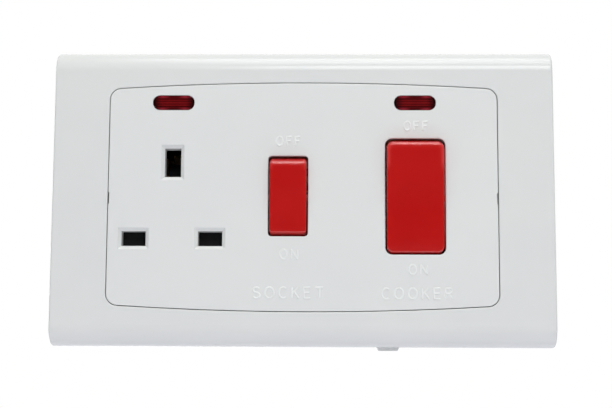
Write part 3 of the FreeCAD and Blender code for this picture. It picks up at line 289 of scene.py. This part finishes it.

# %% [markdown]
# ## White moulding
# The surround and the front plate are a cool white, smooth and half glossy, from polished moulds. They are moulded
# apart, and the surround is a shade darker. The colour drifts a little over the face, a few specks of dust lie on it,
# and the gloss follows the flow bands. A flat white would look like paper, and a strong texture would look like stone,
# so each effect is kept faint. The raised legends get the same recipe a shade lighter, as painted light: a lit copy of
# the white that makes the beads read brighter than the face.

# %% White moulding
WHITES = (0.735, 0.75, 0.737), (0.75, 0.763, 0.746), (0.722, 0.736, 0.727)
# the second shade is painted light: a lit copy of the white for the legends
SURROUND_SHADE, PAINTED_LIGHT_SHADE = 0.975, 1.1
WHITE_ROUGHNESS = 0.17, 0.22
GREY_DUST = 0.42, 0.42, 0.43
FINE_GRAIN = 0.004 * MM


def finish_white(name, shade):
    """White plastic, its colours scaled by the shade; above one it is a lit copy, painted light."""
    dim, full, dull = (tuple(part * shade for part in white) for white in WHITES)
    tree, shader = start_finish(name, IOR=1.49, Specular_IOR_Level=0.28)
    skin = place_group(tree, MOULDED_SKIN, Grain_Scale=2200.0, Mottle_Scale=28.0)
    dust = place_group(tree, DUST_SPECKS, Cell_Scale=170.0, Speck_Size=0.022, Share=0.3)["Speck"]
    body = tint(tree, skin["Mottle"], dim, full)
    dulled = glaze(tree, skin["Flow"], 0.25, body, dull)
    feed(tree, glaze(tree, dust, 0.5, dulled, GREY_DUST), shader["Base Color"])
    feed(tree, spread(tree, skin["Flow"], 0.0, 1.0, *WHITE_ROUGHNESS), shader["Roughness"])
    feed(tree, relief(tree, skin["Grain"], FINE_GRAIN), shader["Normal"])


finish_white("white_plastic", 1.0)
# a lit copy of the white, painted light for the legends
finish_white("painted_light_white", PAINTED_LIGHT_SHADE)
finish_white("surround_white", SURROUND_SHADE)
wear("white_plastic")
for holder in parts["surround_frame"].material_slots:
    holder.material = FINISHES["surround_white"]
print("surround a shade darker", SURROUND_SHADE)

# %% [markdown]
# ## Red moulding
# The two rockers are a deep signal red. Pressing thumbs polish their edges, so the edge mask lowers the roughness
# there. The same mask also lays a painted highlight: a paler pink along the edges, faint low down and full at the
# upper ends, for the bright band that the light overhead draws there. The ends are rounder towards the top too, which
# draws out that band in the shading as well. A little pale dust shows on the dark colour.

# %% Red moulding
REDS = (0.492, 0.003, 0.0025), (0.518, 0.004, 0.0032)
# the pale pink is a painted highlight for the rockers' upper ends; the pale dust is real
PAINTED_HIGHLIGHT_RED, PALE_DUST = (0.8, 0.075, 0.07), (0.6, 0.3, 0.28)
RED_ROUGHNESS, THUMB_POLISH = (0.13, 0.17), 0.05
ROCKER_HALF, ROCKER_ROUND = 10.0 * MM, (0.3 * MM, 1.0 * MM)
# where the painted highlight starts up the rocker, the width of the edge band for polish and highlight, and the
# highlight's share low down and at the top
HIGHLIGHT_START, POLISH_AND_HIGHLIGHT_WIDTH, HIGHLIGHT_SHARES = 7.0 * MM, 2.6 * MM, (0.1, 1.0)


def finish_red():
    """Red plastic with rounder upper ends and a painted highlight on their edges."""
    tree, shader = start_finish("red_plastic", IOR=1.49, Specular_IOR_Level=0.95)
    skin = place_group(tree, MOULDED_SKIN, Grain_Scale=2600.0, Mottle_Scale=60.0)
    edge = place_group(tree, EDGE_WEAR_AND_HIGHLIGHT, Edge_Width=POLISH_AND_HIGHLIGHT_WIDTH)["Edge"]
    dust = place_group(tree, DUST_SPECKS, Cell_Scale=350.0, Speck_Size=0.03, Share=0.25)["Speck"]
    height = put(tree, "SeparateXYZ", Vector=put(tree, "TexCoord").outputs["Object"]).outputs["Z"]
    # painted highlight: a paler pink on the edges, faint low down and full at the upper ends
    highlight_mask = reckon(tree, "MULTIPLY", edge, spread(tree, height, HIGHLIGHT_START, ROCKER_HALF, *HIGHLIGHT_SHARES))
    body = tint(tree, skin["Mottle"], *REDS)
    finished = tint(tree, highlight_mask, body, PAINTED_HIGHLIGHT_RED)
    feed(tree, glaze(tree, dust, 0.4, finished, PALE_DUST), shader["Base Color"])
    moulded = spread(tree, skin["Flow"], 0.0, 1.0, *RED_ROUGHNESS)
    polish = reckon(tree, "MULTIPLY", edge, THUMB_POLISH)
    feed(tree, reckon(tree, "SUBTRACT", moulded, polish), shader["Roughness"])
    edge_round = spread(tree, height, -ROCKER_HALF, ROCKER_HALF, *ROCKER_ROUND)
    feed(tree, relief(tree, skin["Grain"], FINE_GRAIN, edge_round), shader["Normal"])


finish_red()
wear("red_plastic")

# %% [markdown]
# ## Neon windows
# Each window is clear red plastic with ribs moulded across its back to scatter the lamp's glow. Seen from the front
# the ribs are fine dark lines in a dark red body, the round ends are darker still, and light caught in the moulded lip
# shows as four paler streaks. Real refraction through ribs this small needs many samples, so all this is also painted
# into the colour, by the height across the window and the way along it: painted refraction lines for the ribs,
# painted shade beside the middle and at the ends, and painted highlights and shade along the lip. A faint cloud of
# darker red is the plastic's own uneven tone.

# %% Neon windows
LENS_Z, LENS_X, LENS_HALF = 27.45 * MM, (-37.8 * MM, 32.6 * MM), 6.0 * MM
RIB_PITCH, RIB_DEPTH = 0.75 * MM, 0.02 * MM
# the rib, lip and end colours are painted light: refraction lines, highlights and shade; the dim red is both the
# plastic's uneven tone and painted shade
RIB_REFRACTION_REDS = (0.085, 0.002, 0.0026), (0.27, 0.007, 0.01)
LIP_SHADE_AND_HIGHLIGHT_REDS = (0.08, 0.003, 0.005), (0.3, 0.02, 0.034)
DIM_AND_SHADE_RED, END_SHADE_RED = (0.05, 0.001, 0.0015), (0.02, 0.001, 0.0015)
# from the window's middle: where the painted shade and the lip's painted highlights lie across it, and the streaks and
# the painted dark ends along it
SHADE_REACH, LIP_REACH = (0.5 * MM, 1.1 * MM), (1.3 * MM, 1.75 * MM)
STREAK_REACH, END_REACH = (0.2 * LENS_HALF, 0.5 * LENS_HALF), (0.58 * LENS_HALF, 0.92 * LENS_HALF)


def finish_lens():
    """Clear red plastic with painted light in its colour: refraction lines, shade at the ends and highlights in the
    lip.
    """
    tree, shader = start_finish(
        "red_lens", IOR=1.49, Specular_IOR_Level=0.4, Transmission_Weight=0.2, Roughness=0.1)
    spot = put(tree, "TexCoord").outputs["Object"]
    place = put(tree, "SeparateXYZ", Vector=spot).outputs
    height = reckon(tree, "SUBTRACT", place["Z"], LENS_Z)
    turn = reckon(tree, "MULTIPLY", height, 2 * math.pi / RIB_PITCH)
    rib = spread(tree, reckon(tree, "COSINE", turn), -1.0, 1.0)
    off_middle = reckon(tree, "ABSOLUTE", height)
    from_left, from_right = (reckon(tree, "ABSOLUTE", reckon(tree, "SUBTRACT", place["X"], x)) for x in LENS_X)
    along = reckon(tree, "MINIMUM", from_left, from_right)
    cloud = put(tree, "TexNoise", Vector=spot, Scale=500.0, Detail=3.0).outputs[0]
    # painted light: refraction lines for the ribs, painted shade beside the middle, painted highlights and shade along
    # the lip, and painted shade at the ends; the cloud is uneven tone
    uneven = tint(tree, spread(tree, cloud, 0.35, 0.75, 0.0, 0.35), tint(tree, rib, *RIB_REFRACTION_REDS), DIM_AND_SHADE_RED)
    shaded = tint(tree, spread(tree, off_middle, *SHADE_REACH, 0.0, 0.6), uneven, DIM_AND_SHADE_RED)
    lip_shade_and_highlight = tint(tree, spread(tree, along, *STREAK_REACH), *LIP_SHADE_AND_HIGHLIGHT_REDS)
    edged = tint(tree, spread(tree, off_middle, *LIP_REACH), shaded, lip_shade_and_highlight)
    feed(tree, tint(tree, spread(tree, along, *END_REACH), edged, END_SHADE_RED), shader["Base Color"])
    feed(tree, relief(tree, rib, RIB_DEPTH), shader["Normal"])


finish_lens()
wear("red_lens")

# %% [markdown]
# ## Black moulding
# The housing and the shutter are black, with the sparkle grain of a spark-eroded mould. The grain is deep enough to
# feel, so it goes into the normal and the roughness, and handling leaves a greyish rub along the edges.

# %% Black moulding
BLACKS = (0.005, 0.005, 0.0055), (0.008, 0.008, 0.0085)
RUBBED_BLACK, TAN_DUST = (0.03, 0.03, 0.031), (0.25, 0.24, 0.23)
BLACK_ROUGHNESS, SPARK_GRAIN = (0.42, 0.62), 0.03 * MM


def finish_black():
    """Grained black plastic."""
    tree, shader = start_finish("black_plastic", IOR=1.5, Specular_IOR_Level=0.15)
    skin = place_group(tree, MOULDED_SKIN, Grain_Scale=3200.0, Mottle_Scale=70.0)
    edge = place_group(tree, EDGE_WEAR_AND_HIGHLIGHT, Edge_Width=0.5 * MM)["Edge"]
    dust = place_group(tree, DUST_SPECKS, Cell_Scale=420.0, Speck_Size=0.03, Share=0.35)["Speck"]
    body = tint(tree, skin["Mottle"], *BLACKS)
    rubbed = glaze(tree, edge, 0.5, body, RUBBED_BLACK)
    feed(tree, glaze(tree, dust, 0.5, rubbed, TAN_DUST), shader["Base Color"])
    feed(tree, spread(tree, skin["Grain"], 0.3, 0.7, *BLACK_ROUGHNESS), shader["Roughness"])
    feed(tree, relief(tree, skin["Grain"], SPARK_GRAIN), shader["Normal"])


finish_black()
wear("black_plastic")

# %% [markdown]
# ## Natural plunger plastic
# The plungers are uncoloured acetal: milky, waxy and a little see-through. A share of light under the surface gives
# the wax, and long flow bands run down each plunger.

# %% Natural plunger plastic
MILKS, MILK_BAND = ((0.60, 0.58, 0.52), (0.66, 0.64, 0.58)), (0.56, 0.53, 0.46)
MILK_ROUGHNESS, MILK_GRAIN = (0.25, 0.4), 0.005 * MM


def finish_plunger():
    """Milky plastic with light under its surface."""
    tree, shader = start_finish("plunger_plastic", IOR=1.48, Subsurface_Weight=0.25, Subsurface_Scale=1.0 * MM)
    skin = place_group(tree, MOULDED_SKIN, Grain_Scale=4000.0, Mottle_Scale=220.0)
    body = tint(tree, skin["Mottle"], *MILKS)
    feed(tree, glaze(tree, skin["Flow"], 0.4, body, MILK_BAND), shader["Base Color"])
    feed(tree, spread(tree, skin["Grain"], 0.3, 0.7, *MILK_ROUGHNESS), shader["Roughness"])
    feed(tree, relief(tree, skin["Grain"], MILK_GRAIN), shader["Normal"])


finish_plunger()
wear("plunger_plastic")

# %% [markdown]
# ## Bare and plated metals
# Brass strip, silver rivets, zinc-plated screws, spring wire and tinned leads differ in colour, gloss and stain, but
# the tool lines, stains and bright edges are built the same way. One function makes a metal from a row of a table, so
# the set stays easy to compare.

# %% Bare and plated metals
METALS = (
    # slot, bright colour, stained colour, range of roughness, and the scales of the tool lines and stains per metre
    ("brass", (0.79, 0.57, 0.25), (0.50, 0.31, 0.12), (0.24, 0.45), 5000.0, 220.0),
    ("silver", (0.87, 0.86, 0.83), (0.48, 0.43, 0.36), (0.18, 0.4), 9000.0, 500.0),
    ("zinc_steel", (0.68, 0.69, 0.70), (0.50, 0.52, 0.56), (0.25, 0.42), 7000.0, 400.0),
    ("spring_steel", (0.48, 0.48, 0.49), (0.30, 0.27, 0.24), (0.28, 0.45), 12000.0, 600.0),
    ("tinned_wire", (0.70, 0.70, 0.68), (0.52, 0.51, 0.49), (0.3, 0.5), 12000.0, 500.0),
)
TOOL_LINE_DEPTH, METAL_EDGE, EDGE_SHINE = 0.003 * MM, 0.06 * MM, 1.12


def finish_metal(slot, bright, stained, roughness, line_scale, stain_scale):
    """A metal with tool lines, a stain and brightened edges."""
    tree, shader = start_finish(slot, Metallic=1.0)
    metal = place_group(tree, WORKED_METAL, Line_Scale=line_scale, Stain_Scale=stain_scale)
    edge = place_group(tree, EDGE_WEAR_AND_HIGHLIGHT, Edge_Width=0.2 * MM)["Edge"]
    lined = tint(tree, spread(tree, metal["Lines"], 0.3, 0.7, 0.0, 0.3), bright, stained)
    aged = glaze(tree, metal["Stain"], 0.7, lined, stained)
    clean = tuple(min(1.0, EDGE_SHINE * level) for level in bright)
    feed(tree, glaze(tree, edge, 0.6, aged, clean), shader["Base Color"])
    feed(tree, spread(tree, metal["Stain"], 0.0, 1.0, *roughness), shader["Roughness"])
    feed(tree, relief(tree, metal["Lines"], TOOL_LINE_DEPTH, METAL_EDGE), shader["Normal"])
    wear(slot)


for metal_row in METALS:
    finish_metal(*metal_row)

# %% [markdown]
# ## Lamp glass
# A neon lamp is a small clear tube, smoked a little where metal has settled on the glass. Glass keeps a plain
# transmission, so the smoke goes into its colour and the drawn surface into a very faint relief.

# %% Lamp glass
CLEAR_GLASS, SMOKED_GLASS = (0.97, 0.96, 0.94), (0.70, 0.62, 0.52)
GLASS_ROUGHNESS, RIPPLE_DEPTH = (0.02, 0.06), 0.008 * MM


def finish_glass():
    """Clear glass with a little smoke."""
    tree, shader = start_finish("lamp_glass", IOR=1.5, Transmission_Weight=1.0)
    place = put(tree, "TexCoord").outputs["Object"]
    smoke = put(tree, "TexNoise", Vector=place, Scale=350.0, Detail=3.0).outputs[0]
    ripple = put(tree, "TexNoise", Vector=place, Scale=900.0, Detail=1.0).outputs[0]
    feed(tree, tint(tree, spread(tree, smoke, 0.45, 0.75), CLEAR_GLASS, SMOKED_GLASS), shader["Base Color"])
    feed(tree, spread(tree, ripple, 0.3, 0.7, *GLASS_ROUGHNESS), shader["Roughness"])
    feed(tree, put(tree, "Bump", Height=ripple, Distance=RIPPLE_DEPTH).outputs[0], shader["Normal"])


finish_glass()
wear("lamp_glass")

# %% [markdown]
# ## Resistor
# Each lamp has a ballast resistor: a lacquered tan rod with colour bands. The rods lie along Y, so the bands are stops
# of a colour ramp read along Y, and both rods can share the finish.

# %% Resistor
RESISTOR_Y = (0.6 * MM, 6.9 * MM)
TAN, BROWN, INK, YELLOW, GOLD = (
    (0.42, 0.27, 0.13), (0.12, 0.045, 0.02), (0.01, 0.01, 0.01), (0.55, 0.4, 0.02), (0.4, 0.24, 0.05))
BANDS = (
    # share of the length where a colour starts, and the colour
    (0.0, TAN), (0.14, BROWN), (0.22, TAN), (0.34, INK), (0.42, TAN),
    (0.54, YELLOW), (0.62, TAN), (0.8, GOLD), (0.87, TAN),
)
BAND_WOBBLE, LACQUER_FLOW = 0.02, (0.3, 0.2, 0.1)
LACQUER_ROUGHNESS, LACQUER_GRAIN = (0.25, 0.4), 0.01 * MM


def finish_resistor():
    """Tan lacquer with colour bands."""
    tree, shader = start_finish("resistor_body", IOR=1.5, Coat_Weight=0.4, Coat_Roughness=0.1)
    skin = place_group(tree, MOULDED_SKIN, Grain_Scale=3000.0, Mottle_Scale=400.0)
    place = put(tree, "SeparateXYZ", Vector=put(tree, "TexCoord").outputs["Object"])
    share = spread(tree, place.outputs["Y"], *RESISTOR_Y)
    ramp = put(tree, "ValToRGB", Fac=reckon(tree, "MULTIPLY_ADD", skin["Mottle"], BAND_WOBBLE, share))
    ramp.color_ramp.interpolation = "CONSTANT"
    stops = ramp.color_ramp.elements
    while len(stops) < len(BANDS):
        stops.new(0.5)
    for stop, (spot, colour) in zip(stops, BANDS):
        stop.position = spot
        stop.color = (*colour, 1.0)
    feed(tree, glaze(tree, skin["Flow"], 0.2, ramp.outputs[0], LACQUER_FLOW), shader["Base Color"])
    feed(tree, spread(tree, skin["Grain"], 0.3, 0.7, *LACQUER_ROUGHNESS), shader["Roughness"])
    feed(tree, relief(tree, skin["Grain"], LACQUER_GRAIN), shader["Normal"])


finish_resistor()
wear("resistor_body")

# %% [markdown]
# ## Letters of the legends
# The words beside the switches are cut into the mould with a ball-nosed cutter, so on the plate they stand up as thin
# beads with round tops. A font's letters are too heavy and too fancy for that. Here each letter is a few strokes on a
# grid one unit high. Where two strokes meet at a sharp angle they are kept apart, because a bevel that turns a sharp
# corner goes thin there.

# %% Strokes of the letters
def bend(x, z, wide, high, start, stop, steps=10):
    """Points on part of an ellipse, between two angles in degrees."""
    turns = (math.radians(start + (stop - start) * step / steps) for step in range(steps + 1))
    return [(x + wide * math.cos(turn), z + high * math.sin(turn)) for turn in turns]


LETTERS = {
    # width, then the strokes
    "C": (0.6, [bend(0.34, 0.5, 0.34, 0.5, 50, 310, 16)]),
    "E": (0.5, [[(0.5, 1), (0, 1), (0, 0), (0.5, 0)], [(0, 0.52), (0.44, 0.52)]]),
    "F": (0.5, [[(0, 0), (0, 1), (0.5, 1)], [(0, 0.52), (0.43, 0.52)]]),
    "K": (0.54, [[(0, 0), (0, 1)], [(0.52, 1), (0, 0.42)], [(0.17, 0.61), (0.54, 0)]]),
    "N": (0.64, [[(0, 0), (0, 1)], [(0, 1), (0.64, 0)], [(0.64, 0), (0.64, 1)]]),
    "O": (0.68, [bend(0.34, 0.5, 0.34, 0.5, 90, 450, 24)]),
    "R": (0.54, [[(0, 0), (0, 1), (0.3, 1)] + bend(0.3, 0.75, 0.22, 0.25, 80, -80) + [(0.3, 0.5), (0, 0.5)],
                 [(0.29, 0.5), (0.54, 0)]]),
    "S": (0.52, [bend(0.26, 0.755, 0.25, 0.245, 25, 260) + bend(0.26, 0.26, 0.26, 0.26, 80, -155)]),
    "T": (0.6, [[(0, 1), (0.6, 1)], [(0.3, 1), (0.3, 0)]]),
}
print("letters", "".join(LETTERS))

# %% [markdown]
# ## Beads and pieces
# The legends, the springs and the electrodes are all a round section swept along a line. A curve with a round bevel
# does that, and it is turned into a mesh at once, so the piece is plain geometry. Each new piece then gets a finish
# and rides on a body.

# %% Helpers for beads and pieces
def bead(name, runs, radius, kind="POLY"):
    """Round beads along runs of points, as one mesh."""
    curve = bpy.data.curves.new(name, "CURVE")
    curve.dimensions = "3D"
    curve.bevel_depth = radius
    curve.bevel_resolution = 3
    curve.use_fill_caps = True
    curve.resolution_u = 3
    for run in runs:
        spline = curve.splines.new(kind)
        spline.points.add(len(run) - 1)
        for point, spot in zip(spline.points, run):
            point.co = (*spot, 1.0)
        spline.use_endpoint_u = True
        spline.order_u = 3
    holder = bpy.data.objects.new(name, curve)
    mesh = bpy.data.meshes.new_from_object(holder)
    bpy.data.objects.remove(holder)
    bpy.data.curves.remove(curve)
    mesh.shade_smooth()
    return mesh


def add_piece(name, mesh, body, slot, finish=None):
    """Stands a mesh on a body with a slot's finish, or with another one."""
    mesh.materials.append(FINISHES[finish or slot])
    piece = bpy.data.objects.new(name, mesh)
    bpy.context.scene.collection.objects.link(piece)
    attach(piece, body)
    print(name, len(mesh.polygons), "faces")
    return piece


print("piece helpers ready")

# %% [markdown]
# ## Raised legends
# Each word is spelt from the strokes, stretched to the size that it has on the plate. A full round bead would stand
# too high, so most of it is sunk in the plate and only a low round top is left. The legends are white on white: they
# show by their shading and by painted light, a white a shade lighter than the face.

# %% Raised legends
FACE_Y = -9.0 * MM
LETTER_SPACE = 0.42
BEAD_RADIUS, BEAD_SUNK = 0.38 * MM, 0.2 * MM
LEGENDS = (
    # name, word, centre and size across the face in millimetres
    ("legend_socket_off", "OFF", (-4.24, 16.07), (6.8, 2.6)),
    ("legend_socket_on", "ON", (-3.9, -16.9), (5.0, 2.8)),
    ("legend_socket", "SOCKET", (-4.0, -28.0), (20.1, 3.1)),
    ("legend_cooker_off", "OFF", (32.8, 20.6), (6.8, 2.6)),
    ("legend_cooker_on", "ON", (33.2, -21.2), (5.2, 2.8)),
    ("legend_cooker", "COOKER", (32.9, -28.1), (20.2, 3.1)),
)


def raise_legend(name, word, centre, size):
    """Spells a word on the face of the front plate."""
    total = sum(LETTERS[letter][0] for letter in word) + LETTER_SPACE * (len(word) - 1)
    start, runs = 0.0, []
    for letter in word:
        width, strokes = LETTERS[letter]
        for stroke in strokes:
            runs.append([((centre[0] + ((start + x) / total - 0.5) * size[0]) * MM, FACE_Y + BEAD_SUNK,
                          (centre[1] + (z - 0.5) * size[1]) * MM) for x, z in stroke])
        start += width + LETTER_SPACE
    # the legends wear the lit copy of the white, painted light
    add_piece(name, bead(name, runs, BEAD_RADIUS), "unit", "white_plastic", "painted_light_white")


for legend in LEGENDS:
    raise_legend(*legend)

# %% [markdown]
# ## Round-wire springs
# In the solids the springs are prisms with a few sides, which keeps them light. Here a NURBS curve carries a round
# bevel along a true coil and stands in their place.

# %% Coils
WIRE_RADIUS = 0.22 * MM
STEPS_A_TURN, COIL_TURNS, END_CLOSING = 12, 6, 0.06


def coil_points(radius, length):
    """Points of a coil standing on the origin, with its end turns closed up."""
    count = COIL_TURNS * STEPS_A_TURN
    for step in range(count + 1):
        share = step / count
        eased = share + math.sin(2 * math.pi * share) * END_CLOSING
        angle = 2 * math.pi * step / STEPS_A_TURN
        height = WIRE_RADIUS + eased * (length - 2 * WIRE_RADIUS)
        yield Vector((radius * math.cos(angle), radius * math.sin(angle), height))


def wind_spring(node, body, foot, axis, radius, length):
    """A coil from a foot along an axis, in place of a part."""
    stand = Matrix.Translation(foot) @ axis.to_track_quat("Z", "Y").to_matrix().to_4x4()
    run = [stand @ spot for spot in coil_points(radius, length)]
    piece = add_piece(node + "_round", bead(node, [run], WIRE_RADIUS, "NURBS"), body, "spring_steel")
    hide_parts(node)
    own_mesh(piece)


print("coils of", COIL_TURNS, "turns")

# %% [markdown]
# ## Springs in their places
# A plunger's spring stands in the post of its rocker, which leans back by half of its throw in the rest pose, so the
# spring leans with it. The shutter's spring stands upright, and the box of its part gives its foot and length.

# %% Round-wire springs
PIVOT_Y, SEAT_Y = -4.6 * MM, -3.6 * MM
PLUNGER_COIL, PLUNGER_SPRING, PLUNGER_TRAVEL = 1.1 * MM, 8.85 * MM, 1.2 * MM
PLUNGERS = (
    # pole, body, place along X in millimetres and the rocker's throw in degrees
    ("socket", "socket_switch", -4.2, 11.0),
    ("cooker_neutral", "cooker_switch", 27.1, 10.0),
    ("cooker_line", "cooker_switch", 38.1, 10.0),
)
SHUTTER_COIL, SHUTTER_TRAVEL = 1.0 * MM, 5.6 * MM

for pole, body, x, throw in PLUNGERS:
    lean = math.radians(throw / 2)
    axis = Vector((0, math.cos(lean), math.sin(lean)))
    foot = Vector((x * MM, PIVOT_Y, 0)) + axis * SEAT_Y
    wind_spring(f"{pole}_plunger_spring", body, foot, axis, PLUNGER_COIL, PLUNGER_SPRING)

low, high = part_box("shutter_spring")
foot = Vector(((low.x + high.x) / 2, (low.y + high.y) / 2, low.z))
wind_spring("shutter_spring", "unit", foot, Vector((0, 0, 1)), SHUTTER_COIL, high.z - low.z)

# %% [markdown]
# ## Lamp electrodes
# Inside each neon lamp two plain rods lie side by side and never touch: the gas between them glows. They are swept
# along short curves, with a small bend where each leaves the seal at its own end of the tube.

# %% Lamp electrodes
ELECTRODE_RADIUS, ELECTRODE_GAP = 0.32 * MM, 0.6 * MM
# shares of the tube's half length from its middle, and of the gap
ELECTRODE_ROUTE = (0.97, 0), (0.8, 0), (0.66, 1), (0.3, 1), (-0.55, 1)


def add_electrodes(name):
    """Two rods inside one lamp, each from its own end."""
    low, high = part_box(f"{name}_neon_lamp")
    middle, half = (low + high) / 2, (high.x - low.x) / 2
    for side, sign in (("left", -1), ("right", 1)):
        run = [Vector((sign * share * half, 0, lift * sign * ELECTRODE_GAP)) + middle
               for share, lift in ELECTRODE_ROUTE]
        label = f"{name}_{side}_electrode"
        add_piece(label, bead(label, [run], ELECTRODE_RADIUS, "NURBS"), "unit", "tinned_wire")


for name in ("socket", "cooker"):
    add_electrodes(name)

# %% [markdown]
# ## Floor
# The unit hangs in front of a white background, above a pale floor. The floor is lifted towards white for the camera
# alone, more with the distance, so it keeps the unit's shadow and shows no far edge. It is clear from below, so the
# unit can be looked at from there too.

# %% Floor
FLOOR_Z, FLOOR_HALF = -0.2, 1.5
FLOOR_PAINT, FLOOR_ROUGHNESS = (0.92, 0.925, 0.98, 1.0), 0.9
LIFT_REACH, FLOOR_LIFT = (0.3, 0.9 * FLOOR_HALF), (0.3, 0.8)
PURE_WHITE = 1.0, 1.0, 1.0, 1.0

corners = (-1, -1), (1, -1), (1, 1), (-1, 1)
floor_mesh = bpy.data.meshes.new("floor")
floor_mesh.from_pydata([(x * FLOOR_HALF, y * FLOOR_HALF, FLOOR_Z) for x, y in corners], [], [(0, 1, 2, 3)])
floor = bpy.data.objects.new("floor", floor_mesh)
bpy.context.scene.collection.objects.link(floor)
pale = bpy.data.materials.new("pale_floor")
pale.use_nodes = True
tree = pale.node_tree
paint = tree.nodes["Principled BSDF"]
paint.inputs["Base Color"].default_value = FLOOR_PAINT
paint.inputs["Emission Color"].default_value = PURE_WHITE
paint.inputs["Roughness"].default_value = FLOOR_ROUGHNESS
spot = put(tree, "TexCoord").outputs["Object"]
far = put(tree, "VectorMath", {"operation": "LENGTH"}, Vector=spot).outputs["Value"]
lift = spread(tree, far, *LIFT_REACH, *FLOOR_LIFT)
seen_lift = reckon(tree, "MULTIPLY", put(tree, "LightPath").outputs["Is Camera Ray"], lift)
feed(tree, seen_lift, paint.inputs["Emission Strength"])
sides = put(tree, "MixShader", Fac=put(tree, "NewGeometry").outputs["Backfacing"])
feed(tree, paint.outputs[0], sides.inputs[1])
feed(tree, put(tree, "BsdfTransparent").outputs[0], sides.inputs[2])
feed(tree, sides.outputs[0], tree.nodes["Material Output"].inputs["Surface"])
floor_mesh.materials.append(pale)
print("floor at", FLOOR_Z)

# %% [markdown]
# ## World
# The world does three jobs. For the camera, and through glass, it is the white background. For plain surfaces it is an
# even fill. Glossy faces mirror a white backdrop behind the unit and a dim room in front of it, which is why the
# rockers look so deep a red from the front. The kind of ray tells these apart.

# %% World
FILL, ROOM, BACKDROP = 0.395, 0.03, 1.0
BACKDROP_REACH = 0.0, 0.6

world = bpy.data.worlds.new("studio")
world.use_nodes = True
bpy.context.scene.world = world
sky = world.node_tree
path = put(sky, "LightPath").outputs
toward = put(sky, "SeparateXYZ", Vector=put(sky, "TexCoord").outputs["Generated"]).outputs
gloss = spread(sky, toward["Y"], *BACKDROP_REACH, ROOM, BACKDROP)
lit = spread(sky, path["Is Glossy Ray"], 0.0, 1.0, FILL, gloss)
seen = reckon(sky, "MAXIMUM", path["Is Camera Ray"], path["Is Transmission Ray"])
backdrop = sky.nodes["Background"]
backdrop.inputs["Color"].default_value = PURE_WHITE
feed(sky, spread(sky, seen, 0.0, 1.0, lit, 1.0), backdrop.inputs["Strength"])
print("world fill", FILL, "room", ROOM, "backdrop", BACKDROP)

# %% [markdown]
# ## Soft boxes
# The light comes softly from above and a little from the right. A deep box overhead draws the bright band along the
# rolled upper edge and the pale upper ends of the rockers. One in front gives the face its level and a thin line on
# the roll. A weak bluish strip below stands for light off a table and lifts the lower roll, and a box behind shows the
# rear side. All of them look at the unit, and none is seen by the camera itself.

# %% Soft boxes
WHITE_LIGHT, BLUISH_LIGHT = (1.0, 1.0, 1.0), (0.86, 0.84, 1.0)
SOFT_BOXES = (
    # name, place, size, watts and colour
    ("overhead_box", (0.05, -0.29, 0.86), (0.42, 0.6), 4.0, WHITE_LIGHT),
    ("front_box", (0.13, -0.82, 0.52), (0.42, 0.14), 2.85, WHITE_LIGHT),
    ("low_strip", (0.02, -0.08, -0.185), (0.5, 0.12), 0.07, BLUISH_LIGHT),
    ("rear_box", (-0.35, 0.85, 0.12), (0.6, 0.4), 2.5, WHITE_LIGHT),
)


def hang_soft_box(name, place, size, watts, colour):
    """A rectangular lamp that looks at the middle of the unit."""
    lamp = bpy.data.lights.new(name, "AREA")
    lamp.shape = "RECTANGLE"
    lamp.size, lamp.size_y = size
    lamp.energy = watts
    lamp.color = colour
    box = bpy.data.objects.new(name, lamp)
    box.location = place
    box.rotation_euler = (-Vector(place)).to_track_quat("-Z", "Y").to_euler()
    box.visible_camera = False
    bpy.context.scene.collection.objects.link(box)
    print("lamp", name, watts, "W")


for soft_box in SOFT_BOXES:
    hang_soft_box(*soft_box)

# %% [markdown]
# ## Camera
# The picture was taken from a little below the middle of the plate and very slightly from its right, with a long lens.
# The plug slots have a known pitch, so their pixels give the distance and the angles, and the roll is a third of a
# degree.

# %% Camera
FOCAL_PIXELS, PICTURE_WIDTH, SENSOR = 1298.0, 612.0, 36.0
DISTANCE, NEAREST = 384.0 * MM, 10.0 * MM
RISE, SWING, ROLL = math.radians(-7.42), math.radians(1.24), math.radians(0.29)
TARGET = Vector((0.82, 0.0, -1.16)) * MM

back = Vector((math.sin(SWING) * math.cos(RISE), -math.cos(SWING) * math.cos(RISE), math.sin(RISE)))
level = Vector((math.cos(SWING), math.sin(SWING), 0.0))
upright = back.cross(level)
right = level * math.cos(ROLL) + upright * math.sin(ROLL)
up = upright * math.cos(ROLL) - level * math.sin(ROLL)
lens = bpy.data.cameras.new("camera")
lens.sensor_width = SENSOR
lens.lens = FOCAL_PIXELS / PICTURE_WIDTH * SENSOR
lens.clip_start = NEAREST
camera = bpy.data.objects.new("camera", lens)
bpy.context.scene.collection.objects.link(camera)
turned = Matrix((right, up, back)).transposed().to_4x4()
camera.matrix_world = Matrix.Translation(TARGET + back * DISTANCE) @ turned
bpy.context.scene.camera = camera
bpy.context.scene.view_settings.view_transform = "Standard"
print("camera at", [round(v / MM, 1) for v in camera.location], "lens", round(lens.lens, 1))
